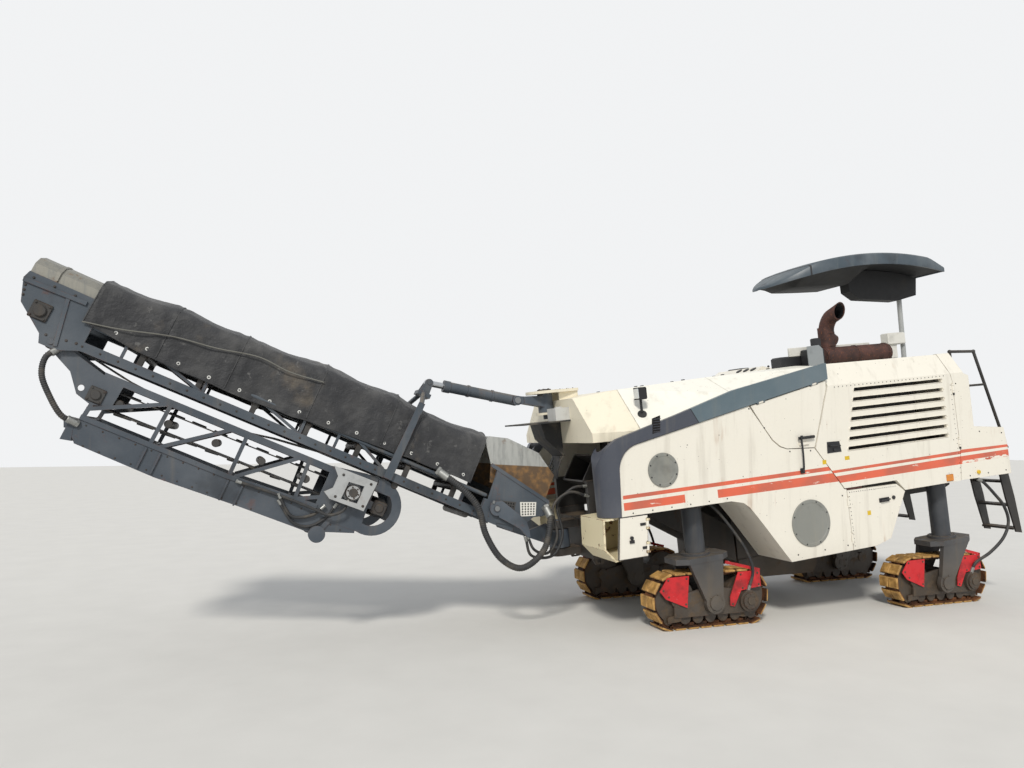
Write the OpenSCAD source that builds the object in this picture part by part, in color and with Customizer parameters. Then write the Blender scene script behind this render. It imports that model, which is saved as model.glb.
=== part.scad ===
// Cold planer milling machine on four steered tracks, with a front loading conveyor
// folded for transport. Millimetres. +X runs to the machine's rear, +Z up, and -Y is
// its left side. The ground is z = 0.

/* [Stance] */
// Height of the track pivot pins above the ground
pivot_h = 250; // [245:1:270]
// Pitch of the chassis, nose down, in degrees
pitch = 5.8; // [5:0.1:6.4]
// Distance between the front and the rear track pivots
wheelbase = 3030; // [2980:10:3080]
// Distance between the centre lines of the left and the right tracks
gauge = 1615; // [1600:5:1630]
// Distance of the front track pivots behind the middle of the machine's length
front_axle_x = 1000; // [980:10:1020]

/* [Body] */
// Width over the side panels
body_w = 2200; // [2180:10:2240]
// Thickness of the side panels, doors and covers
skin_t = 40; // [30:1:50]
// Gap between neighbouring panels
seam = 6; // [4:1:10]
// Number of ventilation slots in the engine door
louvre_count = 7; // [5:1:8]
// Height of one ventilation slot
louvre_h = 36; // [28:1:44]

/* [Legs and tracks] */
// Diameter of a lifting column
column_d = 200; // [180:5:240]
// Radial clearance between a column and its sleeve
column_gap = 0.5; // [0.2:0.1:1]
// Width of a track shoe
shoe_w = 260; // [240:5:280]
// Number of shoes on a track
shoe_count = 22; // [20:1:24]
// Height of a whole track
track_h = 550; // [540:5:570]
// Length of a track's flat run on the ground
track_flat = 960; // [920:10:1000]

/* [Milling drum] */
// Width that the drum cuts
drum_w = 1000; // [900:10:1000]
// Diameter over the tips of the picks
drum_d = 980; // [960:5:990]
// Number of picks along each helix
pick_rows = 14; // [10:1:18]

/* [Conveyor] */
// Slope of the conveyor above the horizontal, in degrees
conv_tilt = 23.4; // [22:0.1:25]
// Length of the main section from the lift pins to the fold pins
main_len = 4125; // [4000:25:4250]
// Length of the folded section from the fold pins to its drive drum
fold_len = 3050; // [2900:25:3150]
// Distance between the outer faces of the conveyor's side rails
conv_w = 840; // [800:10:880]
// Depth of a side rail
rail_h = 80; // [70:5:90]

/* [Canopy] */
// Length of the canopy
canopy_len = 2860; // [2700:20:2900]
// Width of the canopy
canopy_w = 1100; // [1000:20:1200]

/* [Hidden] */
$fn = 48;

// Chassis coordinates: u runs back along the chassis, w up across it, from the front track pivots
rear_u = wheelbase * cos(pitch);
rear_w = -wheelbase * sin(pitch);
skin_y = body_w / 2;
inner_y = skin_y - skin_t;
leg_y = gauge / 2;

// Lifting columns, on the chassis
front_col_u = -55;
rear_col_u = rear_u + 196;
sleeve_r = column_d / 2 + 40;
sleeve_top = 1750;
rear_sleeve_top = 1299;
front_sleeve_w = 940;
rear_sleeve_w = 790;
column_top = 1600;
rear_column_top = 1285;

// Frame rails and tie-down eyes
tie_r = 26;
rail_y = 410;
rail_t = 60;
frame_w0 = 960;
frame_h = 340;
frame_u0 = -1000;
frame_u1 = 3960;

// Slewing pin at the nose, and the pins that the conveyor lifts on
slew_u = -1190;
slew_lug_w0 = 605;
slew_lug_h = 200;
slew_pin_r = 40;
pin_gap = 0.3;
slew_top_w = 2010;
lift_u = slew_u - 803;
lift_w = 1157;
lift_pin_r = 30;

// Side outline of the body, as positions along u and w
panel_u0 = -980;
panel_w0 = 990;
band_corner_r = 250;
band_u0 = -1130;
band_end_u = 1574;
band_end_w = 2262;
flap_u0 = 560;
flap_w0 = 1897;
seam_low_w = 925;
belly_w = 280;
belly_u0 = 874;
belly_u1 = 1664;
door_u1 = 3320;
door_low_w = 812;
crease_w = 2020;
crease_in = 105;
deck_w = 1341;
body_u1 = 4060;

// Milling drum, on the chassis
drum_u = 1400;
drum_w0 = 360;
drum_y0 = 20;
housing_r = drum_d / 2 + 60;
housing_t = 20;
housing_y0 = -100;
housing_y1 = drum_y0 + drum_w + 12;
drum_axle_r = 60;

// Loading chute under the front of the chassis
chute_y0 = -180;
chute_w = 520;

// Conveyor coordinates: s runs up the conveyor from the lift pins, n across it
lift_x = front_axle_x + lift_u * cos(pitch) - lift_w * sin(pitch);
lift_z = pivot_h + lift_u * sin(pitch) + lift_w * cos(pitch);
rail_n = -145;
rail_in_y = conv_w / 2 - 40;
fold_s = main_len;
fold_n = -165;
fold_pin_r = 25;
top_n0 = 600;
top_n1 = 500;

function chassis_x(u, w) = front_axle_x + u * cos(pitch) - w * sin(pitch);
function chassis_z(u, w) = pivot_h + u * sin(pitch) + w * cos(pitch);
function arc(cx, cy, r, a0, a1, n) = [for (i = [0 : n]) let (a = a0 + (a1 - a0) * i / n)
                                      [cx + r * cos(a), cy + r * sin(a)]];

module on_chassis() { translate([front_axle_x, 0, pivot_h]) rotate([0, -pitch, 0]) children(); }
module on_conveyor() { translate([lift_x, 0, lift_z]) rotate([0, -conv_tilt, 180]) children(); }

// A flat outline in (u, w) made into a wall from y0 to y0 + t
module wall(y0, t) { translate([0, y0 + t, 0]) rotate([90, 0, 0]) linear_extrude(t) children(); }

// The same wall mirrored for the right side where side is 1
module side_wall(side, depth, t) {
    wall(side < 0 ? -depth : depth - t, t) children();
}

// A cross-section in (y, w) carried along u from u0
module along(u0, len) { translate([u0, 0, 0]) rotate([90, 0, 90]) linear_extrude(len) children(); }

// A round bar from point a to point b
module bar(a, b, r, turn = 0) {
    d = b - a;
    l = norm(d);
    translate(a) rotate([0, acos(d[2] / l), atan2(d[1], d[0])]) rotate([0, 0, turn]) cylinder(r = r, h = l);
}

// A flat strip of height h from point a to point b, as a wall from y0 to y0 + t
module strut(a, b, h, y0, t) {
    d = (b - a) / norm(b - a) * h / 2;
    n = [-d[1], d[0]];
    wall(y0, t) polygon([a + n - d / 2, b + n + d / 2, b - n + d / 2, a - n - d / 2]);
}

// A cylinder across the machine, from y0 to y1
module cross_pin(u, w, r, y0, y1) { translate([u, y1, w]) rotate([90, 0, 0]) cylinder(r = r, h = y1 - y0); }

// Chassis: two rails, cross boxes, the four column sleeves and the nose with its slewing lugs
module chassis_frame() {
    color("#2b2a29") on_chassis() difference() {
        union() {
            for (side = [-1, 1]) {
                translate([frame_u0, side * rail_y - rail_t / 2, frame_w0])
                    cube([frame_u1 - frame_u0, rail_t, frame_h]);
                translate([front_col_u, side * leg_y, front_sleeve_w])
                    cylinder(r = sleeve_r, h = sleeve_top - front_sleeve_w);
                translate([rear_col_u, side * leg_y, rear_sleeve_w])
                    cylinder(r = sleeve_r, h = rear_sleeve_top - rear_sleeve_w);
                translate([frame_u0, side * (rail_y - 30) - 30, 500])
                    cube([300, rail_t, frame_w0 - 500 + 10]);
            }
            translate([front_col_u - 130, -leg_y, 1190]) cube([260, 2 * leg_y, 310]);
            translate([rear_col_u - 130, -leg_y, frame_w0]) cube([260, 2 * leg_y, frame_h - 20]);
            translate([frame_u1 - 80, -rail_y, frame_w0]) cube([80, 2 * rail_y, frame_h]);
            translate([2060, -rail_y, frame_w0]) cube([80, 2 * rail_y, frame_h]);
            translate([frame_u0, -rail_y, 500]) cube([300, 2 * rail_y, 400]);
            for (w = [slew_lug_w0 - 80, slew_lug_w0 + slew_lug_h + 5]) translate([0, 0, w]) {
                translate([slew_u, 0, 0]) cylinder(r = 110, h = 75);
                translate([slew_u, -110, 0]) cube([frame_u0 - slew_u + 20, 220, 75]);
            }
            translate([2500, -rail_y, 620]) cube([1300, 2 * rail_y, frame_w0 - 600]);
            for (k = [-1, 1], u = [-600, 260, 2650, 3600])
                translate([u, k < 0 ? 0.3 - inner_y + (u == 2650 ? 30 : 0) : rail_y, 1000])
                    cube([80, inner_y - rail_y - 0.3 - (k < 0 && u == 2650 ? 30 : 0), 80]);
            translate([-950, 0.3 - inner_y + seam + 500, 700]) cube([200, 220, 80]);
            translate([-950, rail_y - 30, 700]) cube([200, skin_y - 540 - rail_y + 29.7, 80]);
            for (k = [-1, 1]) {
                wall(k * 300 - 12, 24) polygon([[3780, 640], [3780, 900], [3950, 975], [4010, 760], [3990, 640], [3920, 615]]);
                wall(k * 300 - 12, 24) polygon([[-980, 510], [-800, 510], [-845, 420], [-935, 420]]);
            }
        }
        for (side = [-1, 1], u = [front_col_u, rear_col_u])
            translate([u, side * leg_y, 700]) cylinder(r = column_d / 2 + column_gap, h = 1200);
        translate([slew_u, 0, 400]) cylinder(r = slew_pin_r, h = 700);
        cross_pin(3950, 690, tie_r, -400, 400);
        cross_pin(-890, 460, tie_r, -400, 400);
    }
}

// Drum housing: a scroll over the drum between two end plates, with hanging edge plates
module housing_outline(r) {
    polygon(concat(arc(drum_u, drum_w0, r, 0, 180, 20), [[drum_u - r, 40], [drum_u + r, 40]]));
}

module housing_cover() {
    r = housing_r;
    polygon(concat([[drum_u - r, 100]], arc(drum_u, drum_w0, r, 180, 0, 20), [[drum_u + r, 340]],
                   [[drum_u + r - housing_t, 340]], arc(drum_u, drum_w0, r - housing_t, 0, 180, 20),
                   [[drum_u - r + housing_t, 100]]));
}

module drum_housing() {
    color("#4a4642") on_chassis() difference() {
        union() {
            wall(housing_y0, housing_y1 + housing_t - housing_y0) housing_cover();
            wall(housing_y0, housing_t) housing_outline(housing_r);
            wall(housing_y1, housing_t) housing_outline(housing_r);
            for (y = [housing_y0 - 12, housing_y1 + housing_t])
                wall(y, 12) polygon([[drum_u - 520, 150], [drum_u + 540, 150],
                                     [drum_u + 600, -60], [drum_u + 540, -150], [drum_u - 480, -60]]);
        }
        translate([drum_u - housing_r - 20, chute_y0 + 20, 0]) cube([100, chute_w - 40, 470]);
        cross_pin(drum_u, drum_w0, drum_axle_r + pin_gap, housing_y0 - 30, housing_y1 + 60);
    }
}

// Milling drum with its picks on two helices that meet in the middle
module pick_set() {
    barrel_r = drum_d / 2 - 90;
    step = drum_w / 2 / pick_rows;
    for (side = [-1, 1], i = [0 : pick_rows - 1], start = [0, 180]) {
        y = drum_y0 + drum_w / 2 + side * (i + 0.5) * step;
        a = start + side * 40 + i * 360 / pick_rows;
        translate([drum_u, y, drum_w0]) rotate([0, a, 0]) translate([barrel_r - 15, -22, -38])
            cube([60, 44, 76]);
        translate([drum_u, y, drum_w0]) rotate([0, a, 0]) translate([barrel_r + 20, 0, -10])
            rotate([0, 48, 0]) cylinder(r1 = 20, r2 = 8, h = 78, $fn = 16);
    }
}

module milling_drum() {
    color("#5a4a3c") on_chassis() {
        cross_pin(drum_u, drum_w0, drum_d / 2 - 90, drum_y0, drum_y0 + drum_w);
        cross_pin(drum_u, drum_w0, drum_axle_r, housing_y0 + 2, housing_y1 + housing_t - 2);
        pick_set();
    }
}

// Scraper plate behind the drum, raised and lowered in its guides
scraper_u = drum_u + housing_r + 18;
scraper_w = 500;
module scraper_door() {
    color("#57504a") on_chassis() {
        wall(housing_y0 + housing_t + 5, housing_y1 - housing_y0 - housing_t - 10) polygon([[scraper_u - 12, scraper_w], [scraper_u + 12, scraper_w],
            [scraper_u + 12, 40], [scraper_u - 6, -130], [scraper_u - 30, -130], [scraper_u - 12, 40]]);
        for (y = [150, 450, 750]) translate([scraper_u + 11, y, 60]) cube([40, 24, 380]);
    }
}

// Side panels. The lower edge of the moulded band is a vertical line, a round corner and a slope.
band_slope = (flap_w0 - 1739) / (flap_u0 + 275);
function band_line_w(u) = flap_w0 + (u - flap_u0) * band_slope;
band_turn = atan(band_slope);
corner_cu = panel_u0 + 25 + band_corner_r;
corner_cw = band_line_w(corner_cu) - band_corner_r / cos(band_turn);
function band_edge() = concat([[panel_u0, panel_w0]], arc(corner_cu, corner_cw, band_corner_r, 180, 90 + band_turn, 10));

module front_panel_outline() {
    polygon(concat(band_edge(), [[flap_u0, flap_w0], [690, 1695], [800, 1523], [882, 1450], [968, 1416],
        [1310, 1391], [1322, 1378], [1565, 1030], [1634, seam_low_w], [belly_u1, seam_low_w - 8],
        [belly_u1, belly_w], [belly_u0, belly_w], [552, 745], [440, 894], [374, 945], [235, 980]]));
}

module arch_liner(side, low_w) {
    top = [[374, 945], [440, 894], [552, 745]];
    steep = (belly_u0 - 552) / (745 - belly_w);
    low = [552 + (745 - low_w) * steep, low_w];
    liner = concat(top, [low]);
    shift = [for (p = liner) p + [16, 12]];
    wall(side < 0 ? -inner_y : 560, inner_y - 560)
        polygon(concat(liner, [for (i = [3 : -1 : 0]) shift[i]]));
}

module side_panel(side) {
    on_chassis() {
        side_wall(side, skin_y, skin_t) front_panel_outline();
        arch_liner(side, side < 0 ? belly_w : 470);
    }
}

module side_panel_left() {
    color("#e6e2d6") difference() {
        side_panel(-1);
        on_chassis() for (w = box_hinge_w) on_door_hinge(belly_u1 + seam, w) panel_room();
    }
    color("#e6e2d6") on_chassis() {
        translate([belly_u0, -inner_y, belly_w]) cube([belly_u1 - belly_u0, 440, 14]);
        for (w = box_hinge_w) on_door_hinge(belly_u1 + seam, w) panel_lugs();
        // Open box behind the toolbox door
        translate([belly_u1 - 10, -inner_y + seam, belly_w + 20]) difference() {
            cube([490, 380, 580]);
            translate([24, -1, 14]) cube([452, 366, 552]);
        }
    }
}

module side_panel_right() { color("#e6e2d6") side_panel(1); }

// Moulded grey bands that frame the front corners and run back to the engine door
module band_outline() {
    outer = concat([[band_u0, panel_w0]], arc(band_u0 + 330, 1430, 330, 180, 118, 8),
                   [[-300, 1885], [394, 2071], [band_end_u, band_end_w]]);
    inner = band_edge();
    polygon(concat(outer, [[band_end_u, band_line_w(band_end_u) - 5 + seam]], [[flap_u0, flap_w0 + seam]],
                   [for (i = [len(inner) - 1 : -1 : 0]) inner[i] + [-seam, i == 0 ? 0 : seam]]));
}

module grey_bands() {
    corner_r = 200;
    color("#474b54") on_chassis() for (side = [-1, 1]) intersection() {
        difference() {
            side_wall(side, skin_y + 15, 300) band_outline();
            for (k = [150, 850]) on_flap_hinge(k) panel_room();
        }
        translate([band_u0 + corner_r, side * (skin_y + 15 - corner_r), 900]) linear_extrude(1500) difference() {
            union() {
                circle(corner_r);
                translate([0, -corner_r]) square([2800, 2 * corner_r]);
            }
            circle(corner_r - skin_t - 15);
            translate([0, 15 + skin_t - corner_r]) square([2900, 2 * corner_r - 30 - 2 * skin_t]);
        }
    }
    color("#474b54") on_chassis() {
        for (side = [-1, 1]) {
            side_wall(side, inner_y + 10, 150) polygon([[-75, 1800], [-35, 1800], [-35, 1830], [-75, 1830]]);
            side_wall(side, leg_y + sleeve_r - 7, 24)
                polygon([[-75, sleeve_top + 0.3], [-35, sleeve_top + 0.3], [-35, 1830], [-75, 1830]]);
        }
        for (k = [150, 850]) on_flap_hinge(k) panel_lugs();
    }
}

// Hinges: a barrel on the door turns on a pin between two lugs on the panel
knuckle_r = 14;
knuckle_pin = 8;
module hinge_barrel() { cylinder(r = knuckle_r, h = 56, center = true); }
module panel_lugs() {
    cylinder(r = knuckle_pin, h = 100, center = true);
    for (k = [-1, 1]) translate([0, 0, k * 40]) cylinder(r = knuckle_r, h = 20, center = true);
}
module panel_room() { cylinder(r = knuckle_r + 3, h = 62, center = true); }
module hinge_room() {
    cylinder(r = knuckle_pin + pin_gap, h = 120, center = true);
    for (k = [-1, 1]) translate([0, 0, k * 41]) cylinder(r = knuckle_r + 3, h = 26, center = true);
}
module on_door_hinge(u, w) { translate([u, -skin_y, w]) children(); }
module on_nose_hinge(k) {
    translate([-732, -skin_y, 786]) rotate([0, atan(36 / 379), 0]) translate([0, 0, k]) children();
}
module on_flap_hinge(k) {
    translate([flap_u0, -skin_y, flap_w0]) rotate([0, 90 - band_turn, 0]) translate([0, 0, k]) children();
}

// Flap between the band and the front panel, hinged along its upper edge
module flap_outline() {
    polygon([[flap_u0 + 24, flap_w0 - 5 + 24 * band_slope], [band_end_u - 18, band_line_w(band_end_u - 18) - 8], [1546, 1990],
             [1318, 1400], [1306, 1399], [972, 1423], [889, 1457], [808, 1529], [698, 1699]]);
}

module middle_flap() {
    color("#e6e2d6") on_chassis() difference() {
        union() {
            side_wall(-1, skin_y, skin_t) flap_outline();
            translate([1120, -skin_y - 18, 1440]) cube([120, 18.5, 26]);
            for (k = [150, 850]) on_flap_hinge(k) hinge_barrel();
        }
        for (k = [150, 850]) on_flap_hinge(k) hinge_room();
    }
}

// Engine door with its ventilation slots, leaning inward above the crease
module door_section(u0, len, low_w, top_w) {
    along(u0, len) polygon([[-skin_y, low_w], [-skin_y, crease_w], [-skin_y + crease_in, top_w],
        [-skin_y + crease_in + skin_t, top_w], [-inner_y, crease_w], [-inner_y, low_w]]);
}

module engine_door_outline() {
    polygon([[1581, 2255], [1574, crease_w], [1330, 1385], [1645, seam_low_w + 5], [2352, seam_low_w + 5],
             [2458, door_low_w], [door_u1 - 45, door_low_w], [door_u1, 1164], [door_u1, 1930], [3245, 2250]]);
}

door_hinge_w = [1240, 1850];
module engine_door() {
    pitch_w = 102.5;
    color("#e6e2d6") on_chassis() {
        difference() {
            union() {
                intersection() {
                    door_section(1200, 2200, 700, 2255);
                    wall(-skin_y - 10, 400) engine_door_outline();
                }
                for (w = door_hinge_w) on_door_hinge(door_u1, w) hinge_barrel();
            }
            for (w = door_hinge_w) on_door_hinge(door_u1, w) hinge_room();
            for (i = [0 : louvre_count - 1]) {
                w = 1320 + i * pitch_w;
                wall(-skin_y - 5, skin_t + 10) polygon([[1750 + i * 27, w], [3160, w],
                    [3160, w + louvre_h], [1760 + i * 27, w + louvre_h]]);
            }
        }
        for (i = [0 : louvre_count - 1])
            translate([1740 + i * 27, -inner_y - 2, 1320 + i * pitch_w + louvre_h])
                rotate([40, 0, 0]) cube([3180 - 1740 - i * 27, 60, 3]);
    }
}

// Toolbox door in the belly, hinged on its front edge
box_hinge_w = [400, 780];
module toolbox_door() {
    color("#e6e2d6") on_chassis() difference() {
        union() {
            side_wall(-1, skin_y, skin_t) polygon([[belly_u1 + seam, 905], [2345, 890], [2450, 800], [2185, 330],
                                                  [1985, belly_w], [belly_u1 + seam, belly_w]]);
            for (w = box_hinge_w) on_door_hinge(belly_u1 + seam, w) hinge_barrel();
        }
        for (w = box_hinge_w) on_door_hinge(belly_u1 + seam, w) hinge_room();
    }
}

// Panels behind the doors: the left one is tall, the right one is the low wall of the platform
module rear_side_panels() {
    color("#e6e2d6") on_chassis() {
        difference() {
            intersection() {
                door_section(3200, 900, 700, 2255);
                wall(-skin_y - 10, 400) polygon([[door_u1 + seam - 42, 817], [body_u1, 804], [4052, 1133],
                [4023, deck_w], [3567, 1396], [3575, 1980], [3501, 2009], [3439, 2255],
                [3252, 2255], [door_u1 + seam, 1930], [door_u1 + seam, 1164]]);
            }
            for (w = door_hinge_w) on_door_hinge(door_u1, w) panel_room();
        }
        side_wall(1, skin_y, skin_t) polygon([[belly_u1 + seam, seam_low_w - 8], [1640, seam_low_w], [1571, 1030],
            [1328, 1385], [1574, 2020], [1590, 2180], [1900, 2180], [2000, 1500], [2100, 1400],
            [4023, deck_w], [4052, 1133], [body_u1, 804], [2458, door_low_w], [2352, 889]]);
        for (w = door_hinge_w) on_door_hinge(door_u1, w) panel_lugs();
        // Rear wall
        translate([body_u1 - 60, -inner_y, 810]) cube([40, 2 * inner_y, deck_w - 820]);
    }
}

// Boxes at the lower front corners
module nose_boxes() {
    color("#d8cfb4") on_chassis() for (side = [-1, 1]) difference() {
        side_wall(side, side < 0 ? inner_y - seam : skin_y, side < 0 ? 500 : 500 + skin_t)
            polygon([[-1160, 985], [-716, 985], [-750, 596], [-1070, 575], [-1175, 700]]);
        side_wall(side, side < 0 ? inner_y : inner_y, 480)
            polygon([[-1140, 965], [-738, 965], [-768, 616], [-1062, 597], [-1155, 706]]);
    }
    color("#d8cfb4") on_chassis() for (h = [-110, 110]) on_nose_hinge(h) {
        panel_lugs();
        for (k = [-1, 1]) translate([0, -4, k * 40 - 10]) cube([26, 54, 20]);
    }
}

module nose_door() {
    color("#e6e2d6") on_chassis() difference() {
        union() {
            side_wall(-1, skin_y, skin_t) polygon([[-1000, 980], [-714, 975], [-750, 596], [-1050, 600]]);
            for (h = [-110, 110]) on_nose_hinge(h) hinge_barrel();
        }
        for (h = [-110, 110]) on_nose_hinge(h) {
            hinge_room();
            for (k = [-1, 1]) translate([-4, -8, k * 41 - 13]) cube([40, 60, 26]);
        }
    }
}

// Hood over the front, with chamfered sides that meet the bands
hood_top_y = 640;
hood_u0 = -660;
hood_front_u = -1105;
function hood_top_w(u) = u < -560 ? 2200 : 2215 + (u + 560) * 0.028;

module hood_slice(u, edge_w, top_w) {
    translate([u, 0, 0]) rotate([90, 0, 90]) linear_extrude(1)
        polygon([[-inner_y + 8, edge_w], [-hood_top_y, top_w], [hood_top_y, top_w], [inner_y - 8, edge_w],
                 [inner_y - 8, edge_w - 60], [-inner_y + 8, edge_w - 60]]);
}

module hood() {
    color("#ebe8df") on_chassis() {
        hull() {
            hood_slice(hood_u0 + seam, 1775, 2195);
            hood_slice(394, 2050, 2238);
        }
        hull() {
            hood_slice(394 + seam, 2051, 2238);
            hood_slice(band_end_u - seam, 2236, 2275);
        }
        translate([200, -30, 2000]) cube([400, 60, 120]);
        for (k = [-1, 1], q = [[-300, 1880], [1200, 2160]])
            translate([q[0], k * rail_y - 15, frame_w0 + frame_h + 0.3]) cube([40, 30, q[1] - frame_w0 - frame_h]);
    }
}

// Cream front cover with the upper slewing arm
module front_top_box() {
    color("#e0d9c3") on_chassis() difference() {
        union() {
            hull() {
                translate([hood_u0 - 1, 0, 0]) rotate([90, 0, 90]) linear_extrude(1)
                    polygon([[-inner_y + 8, 1775], [-hood_top_y, 2195], [hood_top_y, 2195],
                             [inner_y - 8, 1775], [inner_y - 8, 1700], [-inner_y + 8, 1700]]);
                translate([hood_front_u, 0, 0]) rotate([90, 0, 90]) linear_extrude(1)
                    polygon([[-900, 1790], [-520, 2150], [520, 2150], [900, 1790], [900, 1700], [-900, 1700]]);
            }
            // Lower and upper slewing arms
            translate([0, 0, slew_top_w]) linear_extrude(25) union() {
                translate([slew_u, 0]) circle(110);
                translate([slew_u, -110]) square([hood_front_u - slew_u + 40, 220]);
            }
            translate([0, 0, slew_top_w + 226]) linear_extrude(30) union() {
                translate([slew_u, 0]) circle(200);
                polygon([[slew_u, -199], [slew_u, 199], [-844, 120], [-844, -120]]);
            }
            for (k = [-1, 1]) wall(k * 100 - 8, 16)
                polygon([[-1070, 2120], [-1070, slew_top_w + 227], [-850, slew_top_w + 227], [-850, 2140]]);
        }
        translate([slew_u, 0, slew_top_w - 60]) cylinder(r = 35, h = 360);
    }
}

// Rubber transfer box under the front cover, with the tray above it
module transfer_box() {
    back = hood_front_u - 0.3;
    color("#1f2022") on_chassis() {
        wall(-160, 320) polygon([[back, 1560], [-1290, 1760], [-1330, 1926], [back, 1926]]);
        translate([-1600, -430, 1925]) cube([back + 1600, 630, 15]);
    }
}

module deck_boxes() {
    color("#b9b9b6") on_chassis() {
        translate([-1260, -420, 1940.3]) cube([hood_front_u - 0.3 + 1260, 220, 130]);
        translate([-1240, -400, 2070]) cube([60, 40, 12]);
    }
}

// Engine, as one plain block behind the slotted door
module engine_block() {
    color("#6b6f6a") on_chassis() translate([1760, -850, 1302]) cube([1250, 700, 780]);
}

// Sheet cover of the engine bay: top deck, inner wall and rear wall
cover_t = 30;
cover_y1 = 60;
module engine_cover() {
    top_w = 2200;
    color("#ddd7c6") on_chassis() {
        difference() {
            union() {
                translate([1590, -940, top_w]) cube([1870, 940 + cover_y1, cover_t]);
                translate([1590, cover_y1 - cover_t, frame_w0 + frame_h + 0.3])
                    cube([1870, cover_t, top_w - frame_w0 - frame_h]);
                translate([3430, -940, frame_w0 + frame_h + 0.3])
                    cube([cover_t, 940 + cover_y1, top_w - frame_w0 - frame_h]);
            }
            translate([2060, -600, top_w - 1]) cylinder(r = 86, h = 60);
        }
    }
}

// Exhaust: silencer on the deck and a pipe with a bevelled end
module exhaust() {
    deck = 2230.3;
    color("#5a3a30") on_chassis() {
        translate([1990, -600, deck + 110]) rotate([0, 90, 0]) cylinder(r = 110, h = 930);
        for (u = [2100, 2750]) translate([u, -690, deck]) cube([40, 180, 60]);
        translate([2075, -600, deck + 150]) cylinder(r = 80, h = 300);
        difference() {
            translate([2075 + 190, -600, deck + 450]) rotate([90, 0, 0]) rotate_extrude(angle = 62)
                translate([-190, 0]) circle(80);
            translate([2300, -800, deck + 300]) cube([600, 400, 200]);
        }
    }
}

// Operator's floor, on the right and across the rear
module operator_platform() {
    color("#4b4d50") on_chassis() {
        translate([1640, cover_y1 + 1, frame_w0 + frame_h + 0.3])
            cube([body_u1 - 60 - 1640 - 0.3, inner_y - cover_y1 - 1.3, 30]);
        translate([3461, -inner_y + 0.3, frame_w0 + frame_h + 0.3])
            cube([body_u1 - 60 - 3461 - 0.3, inner_y + cover_y1 + 1, 30]);
    }
}

floor_w = frame_w0 + frame_h + 30.6;
module operator_console() {
    color("#d8d4c8") on_chassis() {
        wall(cover_y1 + 20, 900) polygon([[1610, floor_w], [1610, 2280], [1700, 2330], [1960, 2260],
                                          [2010, 2180], [1900, floor_w]]);
        cross_pin(2070, 2200, 14, 380, 760);
        translate([1960, 560, 2150]) rotate([0, 60, 0]) cylinder(r = 16, h = 130);
    }
}

module operator_seat() {
    color("#2a2b2d") on_chassis() {
        translate([2900, 570, floor_w]) cylinder(r = 60, h = 380);
        translate([2660, 330, floor_w + 380]) cube([500, 480, 110]);
        translate([3070, 340, floor_w + 480]) rotate([0, 10, 0]) cube([90, 460, 520]);
    }
}

// Sun canopy: an arched shell in two sections with a turned-down rim
canopy_y = 100;
canopy_u0 = 1320;
canopy_n = 14;
function canopy_at(i) = canopy_u0 + canopy_len * i / canopy_n;
function canopy_edge_w(k) = 3127 + 167 * k + 4 * 165 * k * (1 - k) + 60 * k * k * (1 - k) * 4;
function canopy_fade(k) = 0.15 + 0.85 * min(1, 6 * k) * min(1, 8.4 - 8 * k);
module canopy_profile(drop, rise) {
    n = canopy_n;
    polygon(concat([for (i = [0 : n]) [canopy_at(i), canopy_edge_w(i / n) - drop]],
                   [for (i = [n : -1 : 0]) [canopy_at(i), canopy_edge_w(i / n) + rise * canopy_fade(i / n)]]));
}

module canopy() {
    color("#46525b") on_chassis() {
        difference() {
            wall(canopy_y - canopy_w / 2, canopy_w) canopy_profile(0, 140);
            wall(canopy_y - canopy_w / 2 + 25, canopy_w - 50) canopy_profile(40, 110);
        }
    }
}

module canopy_pole() {
    pole_u = canopy_at(12) - 41;
    cap_w = canopy_edge_w(12 / canopy_n) + 15;
    color("#9a9c9c") on_chassis() {
        translate([pole_u, canopy_y - 80, floor_w]) cylinder(r = 30, h = cap_w + 2 - floor_w);
        translate([pole_u - 80, canopy_y - 160, floor_w]) cube([160, 160, 12]);
        wall(canopy_y - 130, 200) polygon(concat([[canopy_at(12), cap_w], [canopy_at(10), cap_w]],
            [for (i = [10 : 12]) [canopy_at(i), canopy_edge_w(i / canopy_n) + 109.7]]));
    }
}

// Handrails at the rear on both sides, and along the right wall
module rail(points, r) {
    for (i = [1 : len(points) - 1]) bar(points[i - 1], points[i], r);
    for (i = [1 : len(points) - 2]) translate(points[i]) sphere(r = r * 1.3);
}

module handrails() {
    color("#3a3d40") on_chassis() for (side = [-1, 1]) {
        y = side * 960;
        u1 = side < 0 ? 3500 : 2300;
        rail([[u1, y, floor_w + 4], [u1, y, 2270], [3870, y, 2250], [4210, y, 1090], [4050, y, 1090]], 17);
        bar([u1 + 5, y, 1860], [3979, y, 1852], 13);
        translate([u1, y, floor_w - 0.3]) cylinder(r = 34, h = 12);
    }
}

// Rear steps and their hangers
module rear_steps() {
    color("#2f3235") on_chassis() {
        for (y = [-960, -560, 560, 960])
            wall(y - 10, 20) polygon([[4042, 960], [4042, 790], [4090, 500], [4190, 90], [4280, 70],
                                      [4230, 500], [4175, 790], [4100, 960]]);
        for (side = [-1, 1], k = [[4150, 120], [4110, 400], [4080, 680]])
            translate([k[0], side * 760 - 200, k[1]]) cube([100, 400, 24]);
    }
}

module round_covers() {
    color("#85868a") on_chassis() for (side = [-1, 1]) {
        cross_pin(-493, 1377, 165, side < 0 ? -skin_y - 8 : skin_y, side < 0 ? -skin_y : skin_y + 8);
        cross_pin(1162, 635, 240, side < 0 ? -skin_y - 8 : skin_y, side < 0 ? -skin_y : skin_y + 8);
    }
}

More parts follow.
